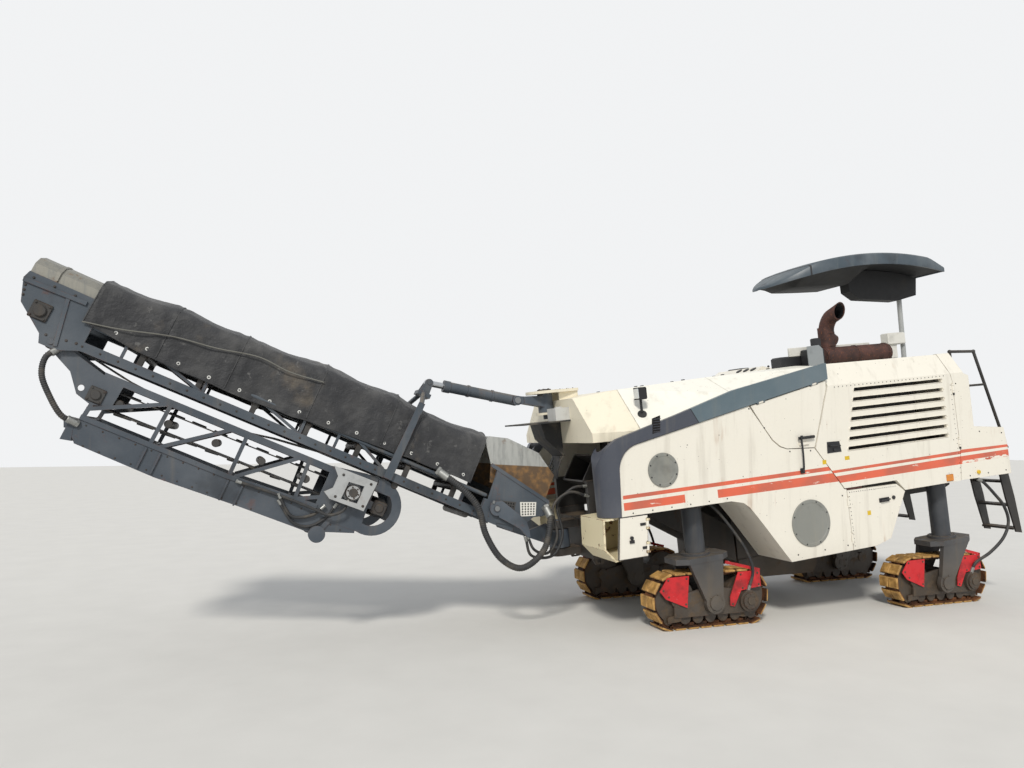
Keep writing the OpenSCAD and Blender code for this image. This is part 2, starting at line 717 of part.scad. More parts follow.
module work_lamp() {
    color("#222426") on_chassis() {
        translate([-560, -930, 1924.4]) rotate([44.6, -14.7, 0]) cylinder(r = 45, h = 12);
        translate([-560, -930, 1943]) cylinder(r = 13, h = 150);
        translate([-600, -985, 2070]) cube([80, 110, 120]);
    }
}

// Loading chute that carries the milled material from the drum to the slewing pin
chute_deg = 32;
function chute_point(t, h) = [drum_u - housing_r + 40 - t * cos(chute_deg) + h * sin(chute_deg),
                              130 + t * sin(chute_deg) + h * cos(chute_deg)];
module chute_shape(h0, h1, t0, t1) {
    polygon([chute_point(t0, h0), chute_point(t0, h1), chute_point(t1, h1), chute_point(t1, h0)]);
}

module loading_chute() {
    color("#3b3a38") on_chassis() difference() {
        wall(chute_y0, chute_w) chute_shape(0, 320, -300, 2150);
        wall(chute_y0 + 20, chute_w - 40) chute_shape(20, 300, -400, 2200);
        translate([drum_u - housing_r - 0.3, chute_y0 - 1, -500]) cube([1000, chute_w + 2, 1500]);
    }
}

// Legs: lifting column, yoke and track pin. Row: corner centre u, pin u, pin w
module leg(col_u, pin_u, pin_w, side) {
    yc = side * leg_y;
    top_w = pin_u > 1000 ? rear_column_top : column_top;
    plate_w = pin_w + 410;
    on_chassis() {
        translate([col_u, yc, plate_w]) cylinder(d = column_d, h = top_w - plate_w);
        translate([col_u, yc, plate_w + 50]) cylinder(r = column_d / 2 + 45, h = 30);
        translate([col_u, yc, plate_w]) linear_extrude(55)
            polygon([[-300, -110], [-190, -195], [190, -195], [300, -110],
                     [300, 110], [190, 195], [-190, 195], [-300, 110]]);
        for (k = [-1, 1]) wall(yc + k * 165 - 25, 50) union() {
            polygon([[col_u - 190, plate_w + 1], [col_u + 190, plate_w + 1], [pin_u + 90, pin_w], [pin_u - 90, pin_w]]);
            translate([pin_u, pin_w]) circle(105);
        }
        cross_pin(pin_u, pin_w, 38, yc - 195, yc + 195);
        cross_pin(pin_u, pin_w, 70, side < 0 ? yc - 205 : yc + 190, side < 0 ? yc - 190 : yc + 205);
    }
}

module leg_front_left() { color("#2d2f33") leg(front_col_u, 0, 0, -1); }
module leg_front_right() { color("#2d2f33") leg(front_col_u, 0, 0, 1); }
module leg_rear_left() { color("#2d2f33") leg(rear_col_u, rear_u, rear_w, -1); }
module leg_rear_right() { color("#2d2f33") leg(rear_col_u, rear_u, rear_w, 1); }

// Tracks: the centre line of the belt as a function of the distance along it
shoe_t = 25;
chain_half = 75;
wheel_pr = (track_h - 2 * shoe_t - 20) / 2;
wheel_x = track_flat / 2 - 75;
wheel_z = track_h - shoe_t - wheel_pr;
low_pr = 75;
low_x = track_flat / 2;
low_z = shoe_t + low_pr;
gap_d = norm([low_x - wheel_x, wheel_z - low_z]);
gap_a = atan2(low_z - wheel_z, low_x - wheel_x) + acos((wheel_pr - low_pr) / gap_d);
gap_l = sqrt(gap_d * gap_d - (wheel_pr - low_pr) * (wheel_pr - low_pr));
len1 = wheel_x;
len2 = len1 + (90 - gap_a) * PI / 180 * wheel_pr;
len3 = len2 + gap_l;
len4 = len3 + (gap_a + 90) * PI / 180 * low_pr;
half_len = len4 + low_x;
function round_part(cx, cz, r, a) = [cx + r * cos(a), cz + r * sin(a), a];
function track_half(s) =
    s < len1 ? [s, wheel_z + wheel_pr, 90] :
    s < len2 ? round_part(wheel_x, wheel_z, wheel_pr, 90 - (s - len1) / wheel_pr * 180 / PI) :
    s < len3 ? [wheel_x + wheel_pr * cos(gap_a) + (s - len2) * sin(gap_a),
                wheel_z + wheel_pr * sin(gap_a) - (s - len2) * cos(gap_a), gap_a] :
    s < len4 ? round_part(low_x, low_z, low_pr, gap_a - (s - len3) / low_pr * 180 / PI) :
    [low_x - (s - len4), shoe_t, -90];
function track_point(s) = s <= half_len ? track_half(s) :
    let (q = track_half(2 * half_len - s)) [-q[0], q[1], 180 - q[2]];
function track_line(shift, n) = [for (i = [0 : n - 1])
    let (q = track_point(2 * half_len * i / n)) [q[0] + shift * cos(q[2]), q[1] + shift * sin(q[2])]];

module track_belt(pin_x, side) {
    shoe_pitch = 2 * half_len / shoe_count;
    yc = side * leg_y;
    translate([pin_x, 0, 0]) union() {
        wall(yc - chain_half, 2 * chain_half) difference() {
            polygon(track_line(3, 72));
            polygon(track_line(-20, 72));
        }
        for (i = [0 : shoe_count - 1]) {
            q = track_point((i + 0.5) * shoe_pitch);
            wall(yc - shoe_w / 2, shoe_w) translate([q[0], q[1]]) rotate(q[2])
                polygon([[-6, -0.44 * shoe_pitch], [shoe_t, -0.39 * shoe_pitch],
                         [shoe_t, 0.39 * shoe_pitch], [-6, 0.44 * shoe_pitch]]);
        }
    }
}

module track_front_left() { color("#4a4540") track_belt(front_axle_x, -1); }
module track_front_right() { color("#4a4540") track_belt(front_axle_x, 1); }
module track_rear_left() { color("#4a4540") track_belt(front_axle_x + wheelbase, -1); }
module track_rear_right() { color("#4a4540") track_belt(front_axle_x + wheelbase, 1); }

// Track frames: side plates, end wheels and rollers, on the pin of the leg
guard_y = 132;
guard_t = 7.5;
module outer_disc(x, z, r, side, d0, d1) {
    cross_pin(x, z, r, side < 0 ? -leg_y - d1 : leg_y + d0, side < 0 ? -leg_y - d0 : leg_y + d1);
}

module track_carrier(pin_x, side) {
    yc = side * leg_y;
    wheel_r = wheel_pr - 21.8;
    translate([pin_x, 0, 0]) difference() {
        union() {
            for (k = [-1, 1]) {
                wall(yc + k * 110 - 10, 20) polygon([[-430, 240], [-350, 340], [-90, 390], [90, 390], [350, 340],
                                                    [430, 240], [430, 120], [-430, 120]]);
                translate([k * wheel_x, 0, 0]) {
                    cross_pin(0, wheel_z, wheel_r, yc - 88, yc + 88);
                    cross_pin(0, wheel_z, 60, yc - 125, yc + 125);
                }
                cross_pin(k * low_x, low_z, low_pr - 23.5, yc - 88, yc + 88);
            }
            for (x = [-288, -144, 0, 144, 288]) cross_pin(x, 105.3, 60, yc - 88, yc + 88);
            for (k = [-1, 1]) wall(yc + k * 106 - 6, 12)
                polygon([[k * 350, 85], [k * 500, 70], [k * 500, 130], [k * 350, 150]]);
            translate([-330, yc - 100, 180]) cube([660, 200, 130]);
            // Guards and the motor cover on the outer side
            side_wall(side, leg_y + guard_y + guard_t, guard_t) polygon([[-599, 389], [-512, 515], [-271, 522],
                                                              [-295, 214], [-533, 312]]);
            side_wall(side, leg_y + guard_y + guard_t, guard_t) polygon([[300, 526], [559, 533], [572, 371], [331, 341],
                                                              [253, 188], [199, 199], [202, 290]]);
            strut([158, 632], [555, 534], 30, side < 0 ? -leg_y - guard_y - guard_t : leg_y + guard_y, guard_t);
            for (q = [[-380, 290], [255, 290]]) outer_disc(q[0], q[1], 25, side, 100, guard_y + 4);
            outer_disc(420, 237, 105, side, 110, 157);
            outer_disc(420, 237, 80, side, 110, 177);
        }
        cross_pin(0, pivot_h, 38 + pin_gap, yc - 130, yc + 130);
    }
}

module track_frame_front_left() { color("#33353a") track_carrier(front_axle_x, -1); }
module track_frame_front_right() { color("#33353a") track_carrier(front_axle_x, 1); }
module track_frame_rear_left() { color("#33353a") track_carrier(front_axle_x + wheelbase, -1); }
module track_frame_rear_right() { color("#33353a") track_carrier(front_axle_x + wheelbase, 1); }

// Slewing yoke: head between the lower lugs, spreading arms, side plates and the top swivel
eye_u = slew_u - 330;
eye_w = slew_top_w + 180;
block_w0 = slew_top_w + 25.3;
block_w1 = slew_top_w + 225.7;
eye_pin_r = 20;
module slew_yoke() {
    color("#474f58") on_chassis() difference() {
        union() {
            translate([slew_u, 0, slew_lug_w0 + 5]) cylinder(r = 110, h = slew_lug_h - 10);
            translate([slew_u, 0, slew_lug_w0 - 90]) cylinder(r = slew_pin_r - pin_gap, h = slew_lug_h + 180);
            // Arms that spread from the head to the side plates
            intersection() {
                wall(-480, 960) polygon([[-1110, 613], [-1240, 631], [-1466, 723], [-1720, 843], [-1720, 905],
                                         [-1405, 905], [-1312, 803], [-1110, 790]]);
                translate([0, 0, 500]) linear_extrude(600) for (k = [-1, 1])
                    polygon([[-1200, k * 47], [-1200, k * 85], [-1690, k * 470], [-1720, k * 470],
                             [-1720, k * 440], [-1700, k * 440]]);
            }
            translate([0, 0, 765]) linear_extrude(16)
                polygon([[-1230, -90], [-1230, 90], [-1430, 240], [-1430, -240]]);
            for (k = [-1, 1]) wall(k * 455 - 15, 30) union() {
                polygon([[-1680, 905], [-1680, 826], [-1711, 839], [-1775, 931], [-1979, 1069], [lift_u, lift_w + 69],
                         [-1930, 1222], [-1760, 1060], [-1700, 985]]);
                translate([lift_u, lift_w]) circle(70);
            }
            // Swivel block at the top
            translate([slew_u, 0, block_w0]) cylinder(r = 80, h = block_w1 - block_w0);
            translate([slew_u, 0, slew_top_w - 45]) cylinder(r = 34.7, h = 320);
            wall(-70, 140) polygon([[slew_u, slew_top_w + 75], [slew_u, slew_top_w + 205],
                                    [slew_u - 260, slew_top_w + 215], [slew_u - 260, slew_top_w + 140]]);
            for (k = [-1, 1]) wall(k * 47.5 - 12.5, 25) union() {
                polygon([[slew_u - 240, slew_top_w + 145], [slew_u - 240, slew_top_w + 213], [eye_u - 10, eye_w + 49],
                         [eye_u - 10, eye_w - 49]]);
                translate([eye_u, eye_w]) circle(50);
            }
            cross_pin(eye_u, eye_w, eye_pin_r, -66, 66);
        }
        cross_pin(lift_u, lift_w, lift_pin_r + pin_gap, -600, 600);
    }
}

// Main conveyor section: rails, tip plates, gantry arch, cross members and drums
drum_r = 90;
lug_s = 1020;
lug_n = 910;
module side_rail(k, s0, s1, n0) {
    translate([s0, k > 0 ? rail_in_y : -conv_w / 2, n0]) cube([s1 - s0, conv_w / 2 - rail_in_y, rail_h]);
}

chord_y = 390;
chord_n = 80;
module conveyor_frame() {
    tip = fold_s - 4125;
    color("#474f58") on_conveyor() {
        difference() {
            union() {
                for (k = [-1, 1]) {
                    side_rail(k, -250, 3950 + tip, rail_n);
                    translate([-60, k > 0 ? 380 : -432, -150]) cube([200, 52, 200]);
                    translate([tip, 0, 0]) {
                        wall(k * 410 - 10, 20) polygon([[3900, -145], [3900, 300], [4510, 300], [4530, 232],
                            [4460, 40], [4230, -140], [4200, -215], [4060, -215]]);
                        strut([4030, 236], [4512, 219], 36, k > 0 ? 419 : -436, 17);
                        strut([4082, -180], [4165, 225], 30, k > 0 ? 419 : -430, 11);
                    }
                    // Upper chord, posts and braces under the canvas
                    bar([130, k * chord_y, chord_n], [3910 + tip, k * chord_y, chord_n], 20);
                    for (p = [[350, 350], [1101, 1104], [1663, 1662], [1995, 1997], [2897, 2896], [3600, 3600],
                              [1168, 1480], [2010, 2470], [2910, 3410]])
                        strut([p[0], rail_n + rail_h - 4], [p[1], chord_n], 26, k * chord_y - 8, 16);
                    // Tail plates with the top tube and the rusty post
                    wall(k > 0 ? 418 : -430, 12) polygon([[130, 360], [-490, 260], [-494, 112], [-400, 64], [-310, -80], [20, -140],
                                                          [100, -140]]);
                    strut([195, 370], [-485, 260], 34, k > 0 ? 404 : -438, 34);
                    strut([107, 345], [10, -138], 50, k > 0 ? 398 : -434, 36);
                    strut([-487, 250], [-490, 130], 34, k > 0 ? 404 : -436, 32);
                    // Gantry side straps
                    wall(k * 443 - 7, 14) polygon([[1060, -100], [1140, -100], [1110, 640], [1050, 640]]);
                    translate([1060, k > 0 ? 415 : -450, -140]) cube([80, 35, 80]);
                }
                for (k = [-1, 1]) bar([1080, k * 443, 620], [1036, k * 50, 793], 24, 37);
                translate([962, -95, 758]) cube([136, 190, 42]);
                for (k = [-1, 1]) wall(k * 43 - 10, 20) union() {
                    polygon([[975, 780], [1085, 780], [1055, 930], [985, 930]]);
                    translate([lug_s, lug_n]) circle(40);
                }
                cross_pin(lug_s, lug_n, 20, -60, 60);
                for (s = [500, 1800, 2600, 3400])
                    translate([s, -rail_in_y - 1, -104]) cube([60, 2 * rail_in_y + 2, 36]);
                cross_pin(-345, 20, 22, -419, 419);
                cross_pin(4300 + tip, 30, 24, -402, 402);
                cross_pin(-130, 0, 24, -421, 421);
                for (k = [-1, 1]) cross_pin(0, 0, lift_pin_r, k > 0 ? 380 : -482, k > 0 ? 482 : -380);
            }
            cross_pin(fold_s, fold_n, fold_pin_r + pin_gap, -600, 600);
        }
    }
}

module belt_loop(s0, n0, s1, n1, r, t, half) {
    a = atan2(n1 - n0, s1 - s0);
    l = norm([s1 - s0, n1 - n0]);
    translate([s0, 0, n0]) rotate([0, -a, 0]) wall(-half, 2 * half) difference() {
        union() {
            circle(r);
            translate([l, 0]) circle(r);
            translate([0, -r]) square([l, 2 * r]);
        }
        circle(r - t);
        translate([l, 0]) circle(r - t);
        translate([0, t - r]) square([l, 2 * (r - t)]);
    }
}

// Main belt: straight on top, with a sagging return strand. Rows: s, n of its lower face
belt_sag = [[-130, -90], [250, -125], [1000, -132], [1670, -142], [2170, -198], [2420, -245],
            [2900, -279], [3520, -218], [3880, -150], [4300, -60]];
module conveyor_belt() {
    tip = fold_s - 4125;
    head = [4300 + tip, 30];
    sag = [for (p = belt_sag) [p[0] > 3000 ? p[0] + tip : p[0], p[1]]];
    color("#26272a") on_conveyor() {
        wall(-320, 640) difference() {
            polygon(concat(arc(-130, 0, drum_r, 90, 270, 16), [for (i = [1 : 8]) sag[i]],
                           arc(head[0], head[1], drum_r, -90, 90, 16)));
            polygon(concat(arc(-130, 0, drum_r - 12, 90, 270, 16), [for (i = [1 : 8]) sag[i] + [0, 12]],
                           arc(head[0], head[1], drum_r - 12, -90, 90, 16)));
        }
        for (k = [[-130, 0], head]) difference() {
            cross_pin(k[0], k[1], drum_r - 13, -330, 330);
            cross_pin(k[0], k[1], 24.3, -340, 340);
        }
    }
}

// Canvas tunnel over the main section. Columns: s, lower edge n, shoulder n, top n, half width
canvas_table = [
    [340, 129, 560, 660, 428],
    [1010, 121, 520, 620, 424],
    [1290, 105, 560, 655, 426],
    [2000, 60, 550, 640, 428],
    [2740, 20, 490, 585, 428],
    [3360, 36, 490, 580, 428],
    [3980, 84, 440, 530, 438]];
function arch_ring(lo, sh, top, hw) = [[-hw, lo], [-hw + 4, lo + (sh - lo) * 0.55], [-hw + 18, sh - 30],
    [-hw + 70, sh + (top - sh) * 0.35], [-hw + 190, sh + (top - sh) * 0.8], [-hw * 0.3, top],
    [hw * 0.3, top], [hw - 190, sh + (top - sh) * 0.8], [hw - 70, sh + (top - sh) * 0.35],
    [hw - 18, sh - 30], [hw - 4, lo + (sh - lo) * 0.55], [hw, lo]];
function canvas_ring(k, t) = let (
    outer = arch_ring(k[1], k[2], k[3], k[4]),
    inner = arch_ring(k[1], k[2] - t, k[3] - t, k[4] - t))
    [for (p = concat(outer, [for (i = [len(inner) - 1 : -1 : 0]) inner[i]])) [k[0], p[0], p[1]]];

module loft(rings) {
    n = len(rings[0]);
    m = len(rings);
    polyhedron(points = [for (r = rings, p = r) p],
        faces = concat([[for (i = [0 : n - 1]) i]], [[for (i = [n - 1 : -1 : 0]) (m - 1) * n + i]],
            [for (j = [0 : m - 2], i = [0 : n - 1], h = [0, 1]) let (a = j * n + i, b = j * n + (i + 1) % n)
                h == 0 ? [a, a + n, b] : [b, a + n, b + n]]), convexity = 6);
}

module conveyor_canvas() {
    color("#2c2d30") on_conveyor() loft([for (k = canvas_table) canvas_ring(k, 8)]);
}

// Metal hood over the tip of the main section
module tip_hood() {
    tip = fold_s - 4125;
    ring = [[-400, 300.3], [-400, 380], [-340, 440], [-200, 475], [200, 475], [340, 440], [400, 380], [400, 300.3],
            [388, 300.3], [388, 375], [332, 430], [198, 463], [-198, 463], [-332, 430], [-388, 375], [-388, 300.3]];
    color("#8d8b83") on_conveyor() {
        along(tip + 3990, 520) polygon(ring);
        along(tip + 4300, 30) polygon([for (p = ring) [p[0] * 1.03, p[1] + (p[1] > 301 ? 6 : 0)]]);
    }
}

// Bright hood over the tail, where the milled material lands
module tail_chute() {
    top = [[336, 574], [312, 629], [129, 686], [-233, 679], [-476, 536], [-478, 414]];
    under = [[-468, 414], [-466, 530], [-230, 668], [127, 675], [303, 620], [326, 572]];
    color("#a9a9a6") on_conveyor() {
        for (k = [-1, 1]) wall(k * 345 - 5, 10)
            polygon(concat(top, [[-485, 215], [130, 215], [190, 381]]));
        wall(-346, 692) polygon(concat(top, under));
        for (k = [-1, 1]) translate([-220, k > 0 ? 345 : -417.7, 216]) cube([100, 72.7, 44]);
    }
}

// Folded conveyor section, drawn in its folded place under the main one
fold_drum_s = fold_s - fold_len - 25;
fold_drum_n = -420;
fold_tail = [fold_s - 485, -430];
fold_y = 366;
module fold_frame() {
    end = 4100 - fold_len;
    color("#474f58") on_conveyor() translate([fold_s - 4125, 0, 0]) {
        for (k = [-1, 1]) {
            y = k * fold_y;
            // Side board with ribs, hinge plates and the rail
            wall(y - 6, 12) polygon([[3660, -645], [3705, -760], [3620, -860], [2940, -885], [2203, -858],
                                     [1580, -850], [1170, -711], [1180, -640], [1600, -598], [2400, -636]]);
            for (s = [3100, 2980, 2380, 2250]) translate([s - 8, k > 0 ? fold_y : -fold_y - 22, -868]) cube([16, 22, 190]);
            wall(y - 8, 16) difference() {
                union() {
                    polygon([[4130, -120], [3640, -255], [3480, -276], [3490, -466], [3640, -522], [3780, -480],
                             [3900, -330], [4150, -205]]);
                    translate([4125, fold_n]) circle(48);
                }
                translate([3770, -420]) circle(26);
            }
            strut([end - 40, -255], [3640, -255], 60, y - 8, 16);
            // Lower chord, posts and braces
            strut([3660, -640], [2405, -652], 42, y - 18, 36);
            strut([2405, -652], [1590, -612], 42, y - 18, 36);
            for (p = [[3080, -280, 3089, -640], [2395, -280, 2390, -640], [1810, -260, 1790, -610],
                      [3012, -635, 2553, -280], [2338, -628, 1893, -265], [3650, -560, 3117, -280],
                      [1760, -605, 1400, -430], [3640, -500, 3652, -640]])
                strut([p[0], p[1]], [p[2], p[3]], 34, y - 9, 18);
            cross_pin(4125, fold_n, fold_pin_r, k > 0 ? 358 : -428, k > 0 ? 428 : -358);
            // End plate and hoop round the drive drum
            wall(y - 9, 18) polygon([[1160, -150], [1600, -226], [1600, -610], [1400, -700], [1137, -689]]);
            wall(y - 7, 14) polygon(concat(arc(end + 60, -425, 270, 80, 280, 20), arc(end + 60, -425, 180, 280, 80, 20)));
            wall(y - 7, 14) polygon([[end - 60, -395], [end + 120, -380], [end + 120, -460], [end - 60, -445]]);
            strut([1427, -677], [1485, -837], 44, k > 0 ? 371 : -383, 12);
            cross_pin(1485, -837, 75, k > 0 ? 382 : -430, k > 0 ? 430 : -382);
        }
        wall(-366, 732) polygon(concat(arc(end + 60, -425, 270, 100, 200, 12), arc(end + 60, -425, 256, 200, 100, 12)));
        wall(-374, 748) polygon([[3700, -674], [3732, -678], [3732, -868], [3650, -850]]);
        wall(-185, 370) polygon([[3720, -676], [3824, -689], [3780, -780], [3720, -780]]);
        for (s = [3650, 3089, 2390, 1795]) cross_pin(s, s > 2400 ? -640 : -630, 20, -368, 368);
        cross_pin(1330, -640, 20, -368, 368);
        cross_pin(end, fold_drum_n, 22, -368, 368);
        cross_pin(3640, -430, 22, -368, 368);
    }
}

// Motor of the folding section in its square guard frame, on the left side
module fold_motor() {
    color("#a3a5a6") on_conveyor() translate([fold_s - 4125, 0, 0]) {
        wall(470, 20) difference() {
            polygon([[1600, -215], [1177, -208], [1190, -494], [1520, -503], [1590, -462], [1530, -400], [1530, -290]]);
            polygon([[1420, -300], [1273, -285], [1273, -452], [1425, -465]]);
        }
        for (p = [[1225, -245], [1215, -455], [1490, -260], [1480, -465]]) cross_pin(p[0], p[1], 18, 375.3, 480);
        cross_pin(1345, -375, 62, 375.3, 500);
        cross_pin(1345, -375, 85, 375.3, 410);
    }
}

module fold_belt() {
    color("#26272a") on_conveyor() {
        belt_loop(fold_drum_s, fold_drum_n, fold_tail[0], fold_tail[1], drum_r, 12, 310);
        for (k = [[fold_drum_s, fold_drum_n], fold_tail]) difference() {
            cross_pin(k[0], k[1], drum_r - 12.3, -330, 330);
            cross_pin(k[0], k[1], 22.3, -340, 340);
        }
    }
}

// Lift cylinder, from the swivel lug to the gantry lug, drawn at its resting length
eye_x = chassis_x(eye_u, eye_w);
eye_z = chassis_z(eye_u, eye_w);
lug_x = lift_x - lug_s * cos(conv_tilt) + lug_n * sin(conv_tilt);
lug_z = lift_z + lug_s * sin(conv_tilt) + lug_n * cos(conv_tilt);
cyl_a = atan2(lug_z - eye_z, eye_x - lug_x);
cyl_l = norm([lug_x - eye_x, lug_z - eye_z]);
tube_l = 800;
rod_r = 32;
module on_cylinder() { translate([eye_x, 0, eye_z]) rotate([0, cyl_a - 90, 0]) children(); }

module lift_cylinder() {
    color("#4a5159") on_cylinder() difference() {
        union() {
            cylinder(r = 55, h = tube_l - 40);
            translate([0, 0, tube_l - 70]) cylinder(r = 62, h = 70);
            for (z = [260, 520]) translate([0, 0, z]) cylinder(r = 62, h = 24);
            rotate([90, 0, 0]) translate([0, 0, -32]) cylinder(r = 45, h = 64);
        }
        translate([0, 0, 70]) cylinder(r = rod_r + 0.5, h = tube_l);
        rotate([90, 0, 0]) translate([0, 0, -70]) cylinder(r = eye_pin_r + pin_gap, h = 140);
        for (k = [-1, 1]) translate([-70, k * 52 - 19.5, -60]) cube([140, 39, 117]);
    }
}

module lift_rod() {
    color("#b8bbbf") on_cylinder() difference() {
        union() {
            translate([0, 0, cyl_l - 700]) cylinder(r = rod_r, h = 680);
            translate([0, 0, cyl_l]) rotate([90, 0, 0]) translate([0, 0, -30]) cylinder(r = 44, h = 60);
        }
        translate([0, 0, cyl_l]) rotate([90, 0, 0]) translate([0, 0, -70]) cylinder(r = 31, h = 140);
    }
}

chassis_frame();
drum_housing();
side_panel_left();
side_panel_right();
grey_bands();
middle_flap();
engine_door();
toolbox_door();
rear_side_panels();
nose_boxes();
nose_door();
hood();
front_top_box();
transfer_box();
deck_boxes();
engine_block();
engine_cover();
exhaust();
operator_platform();
operator_console();
operator_seat();
canopy();
canopy_pole();
handrails();
rear_steps();
round_covers();
work_lamp();
loading_chute();
milling_drum();
scraper_door();
leg_front_left();
leg_front_right();
leg_rear_left();
leg_rear_right();
track_front_left();
track_front_right();
track_rear_left();
track_rear_right();
track_frame_front_left();
track_frame_front_right();
track_frame_rear_left();
track_frame_rear_right();
slew_yoke();
conveyor_frame();
conveyor_canvas();
conveyor_belt();
tip_hood();
tail_chute();
fold_frame();
fold_motor();
fold_belt();
lift_cylinder();
lift_rod();
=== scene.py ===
"""Looks of the cold planer milling machine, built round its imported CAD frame.

Metres. +X is the machine's rear, -Y its left side, +Z up. Chassis places are (u, y, w): u runs back
along the pitched chassis and w up across it, from the front track pivots. Conveyor places are (s, y, n):
s runs up the conveyor from its lift pins and n across it.
"""
import math

import bpy
import bmesh
import numpy as np
from mathutils import Matrix, Vector


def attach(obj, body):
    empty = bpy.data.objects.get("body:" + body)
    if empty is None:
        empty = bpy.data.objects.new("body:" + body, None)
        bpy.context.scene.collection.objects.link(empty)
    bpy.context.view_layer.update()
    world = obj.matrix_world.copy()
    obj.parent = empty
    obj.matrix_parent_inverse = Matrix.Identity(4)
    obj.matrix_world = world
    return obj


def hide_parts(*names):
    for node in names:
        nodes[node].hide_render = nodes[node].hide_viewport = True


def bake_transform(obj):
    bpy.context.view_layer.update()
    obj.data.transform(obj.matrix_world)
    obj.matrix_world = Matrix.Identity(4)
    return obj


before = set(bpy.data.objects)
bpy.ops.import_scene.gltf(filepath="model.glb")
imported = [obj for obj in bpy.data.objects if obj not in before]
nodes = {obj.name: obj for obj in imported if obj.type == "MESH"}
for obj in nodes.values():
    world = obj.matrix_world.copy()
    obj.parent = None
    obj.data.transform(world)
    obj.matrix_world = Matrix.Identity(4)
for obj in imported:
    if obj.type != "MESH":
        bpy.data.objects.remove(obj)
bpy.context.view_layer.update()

# ---------------------------------------------------------------- places
PITCH = math.radians(5.8)
TILT = math.radians(23.4)
FRONT_PIVOT = (1.0, 0.25)
LIFT = (-1.993, 1.157)
BODY_Y = 1.10
LEG_Y = 0.8075
WHEELBASE = 3.03


def chassis(u, y, w):
    """Point on the chassis: x = 1 + u cos p - w sin p, z = 0.25 + u sin p + w cos p."""
    return (FRONT_PIVOT[0] + u * math.cos(PITCH) - w * math.sin(PITCH), y,
            FRONT_PIVOT[1] + u * math.sin(PITCH) + w * math.cos(PITCH))


LIFT_X, _, LIFT_Z = chassis(LIFT[0], 0, LIFT[1])


def conveyor(s, y, n):
    """Point on the conveyor: x = lift - s cos t + n sin t, z = lift + s sin t + n cos t."""
    return (LIFT_X - s * math.cos(TILT) + n * math.sin(TILT), y,
            LIFT_Z + s * math.sin(TILT) + n * math.cos(TILT))


CHASSIS_MATRIX = Matrix.Translation(chassis(0, 0, 0)) @ Matrix.Rotation(-PITCH, 4, "Y")
CONVEYOR_MATRIX = Matrix(((-math.cos(TILT), 0, math.sin(TILT), LIFT_X), (0, 1, 0, 0),
                          (math.sin(TILT), 0, math.cos(TILT), LIFT_Z), (0, 0, 0, 1)))

# ---------------------------------------------------------------- camera
camera = bpy.data.objects.new("camera", bpy.data.cameras.new("camera"))
bpy.context.scene.collection.objects.link(camera)
bpy.context.scene.camera = camera
CAMERA_AT, FOCAL_PIXELS, PICTURE_PIXELS, SENSOR_MM = (-3.457, -7.607, 1.856), 767.9, 1024, 36
YAW, LOOK_UP, ROLL = math.radians(19.42), math.radians(4.22), math.radians(-0.23)
forward = Vector((math.sin(YAW) * math.cos(LOOK_UP), math.cos(YAW) * math.cos(LOOK_UP), math.sin(LOOK_UP)))
level = Vector((math.cos(YAW), -math.sin(YAW), 0))
upward = level.cross(forward)
right = level * math.cos(ROLL) + upward * math.sin(ROLL)
upward = upward * math.cos(ROLL) - level * math.sin(ROLL)
camera.matrix_world = Matrix.Translation(CAMERA_AT) @ Matrix(
    (right, upward, -forward)).transposed().to_4x4()
camera.data.sensor_width = SENSOR_MM
camera.data.lens = SENSOR_MM * FOCAL_PIXELS / PICTURE_PIXELS
camera.data.clip_end = 200


# ---------------------------------------------------------------- meshes
def piece(name, points, faces, body, finish=None, smooth=True):
    """A mesh piece from arrays of points and faces, riding on a CAD body."""
    mesh = bpy.data.meshes.new(name)
    mesh.from_pydata([tuple(p) for p in np.asarray(points, float)], [], [tuple(f) for f in faces])
    mesh.validate()
    mesh.polygons.foreach_set("use_smooth", [smooth] * len(mesh.polygons))
    obj = bpy.data.objects.new(name, mesh)
    bpy.context.scene.collection.objects.link(obj)
    if finish is not None:
        mesh.materials.append(finish)
    if body:
        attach(obj, body)
    return obj


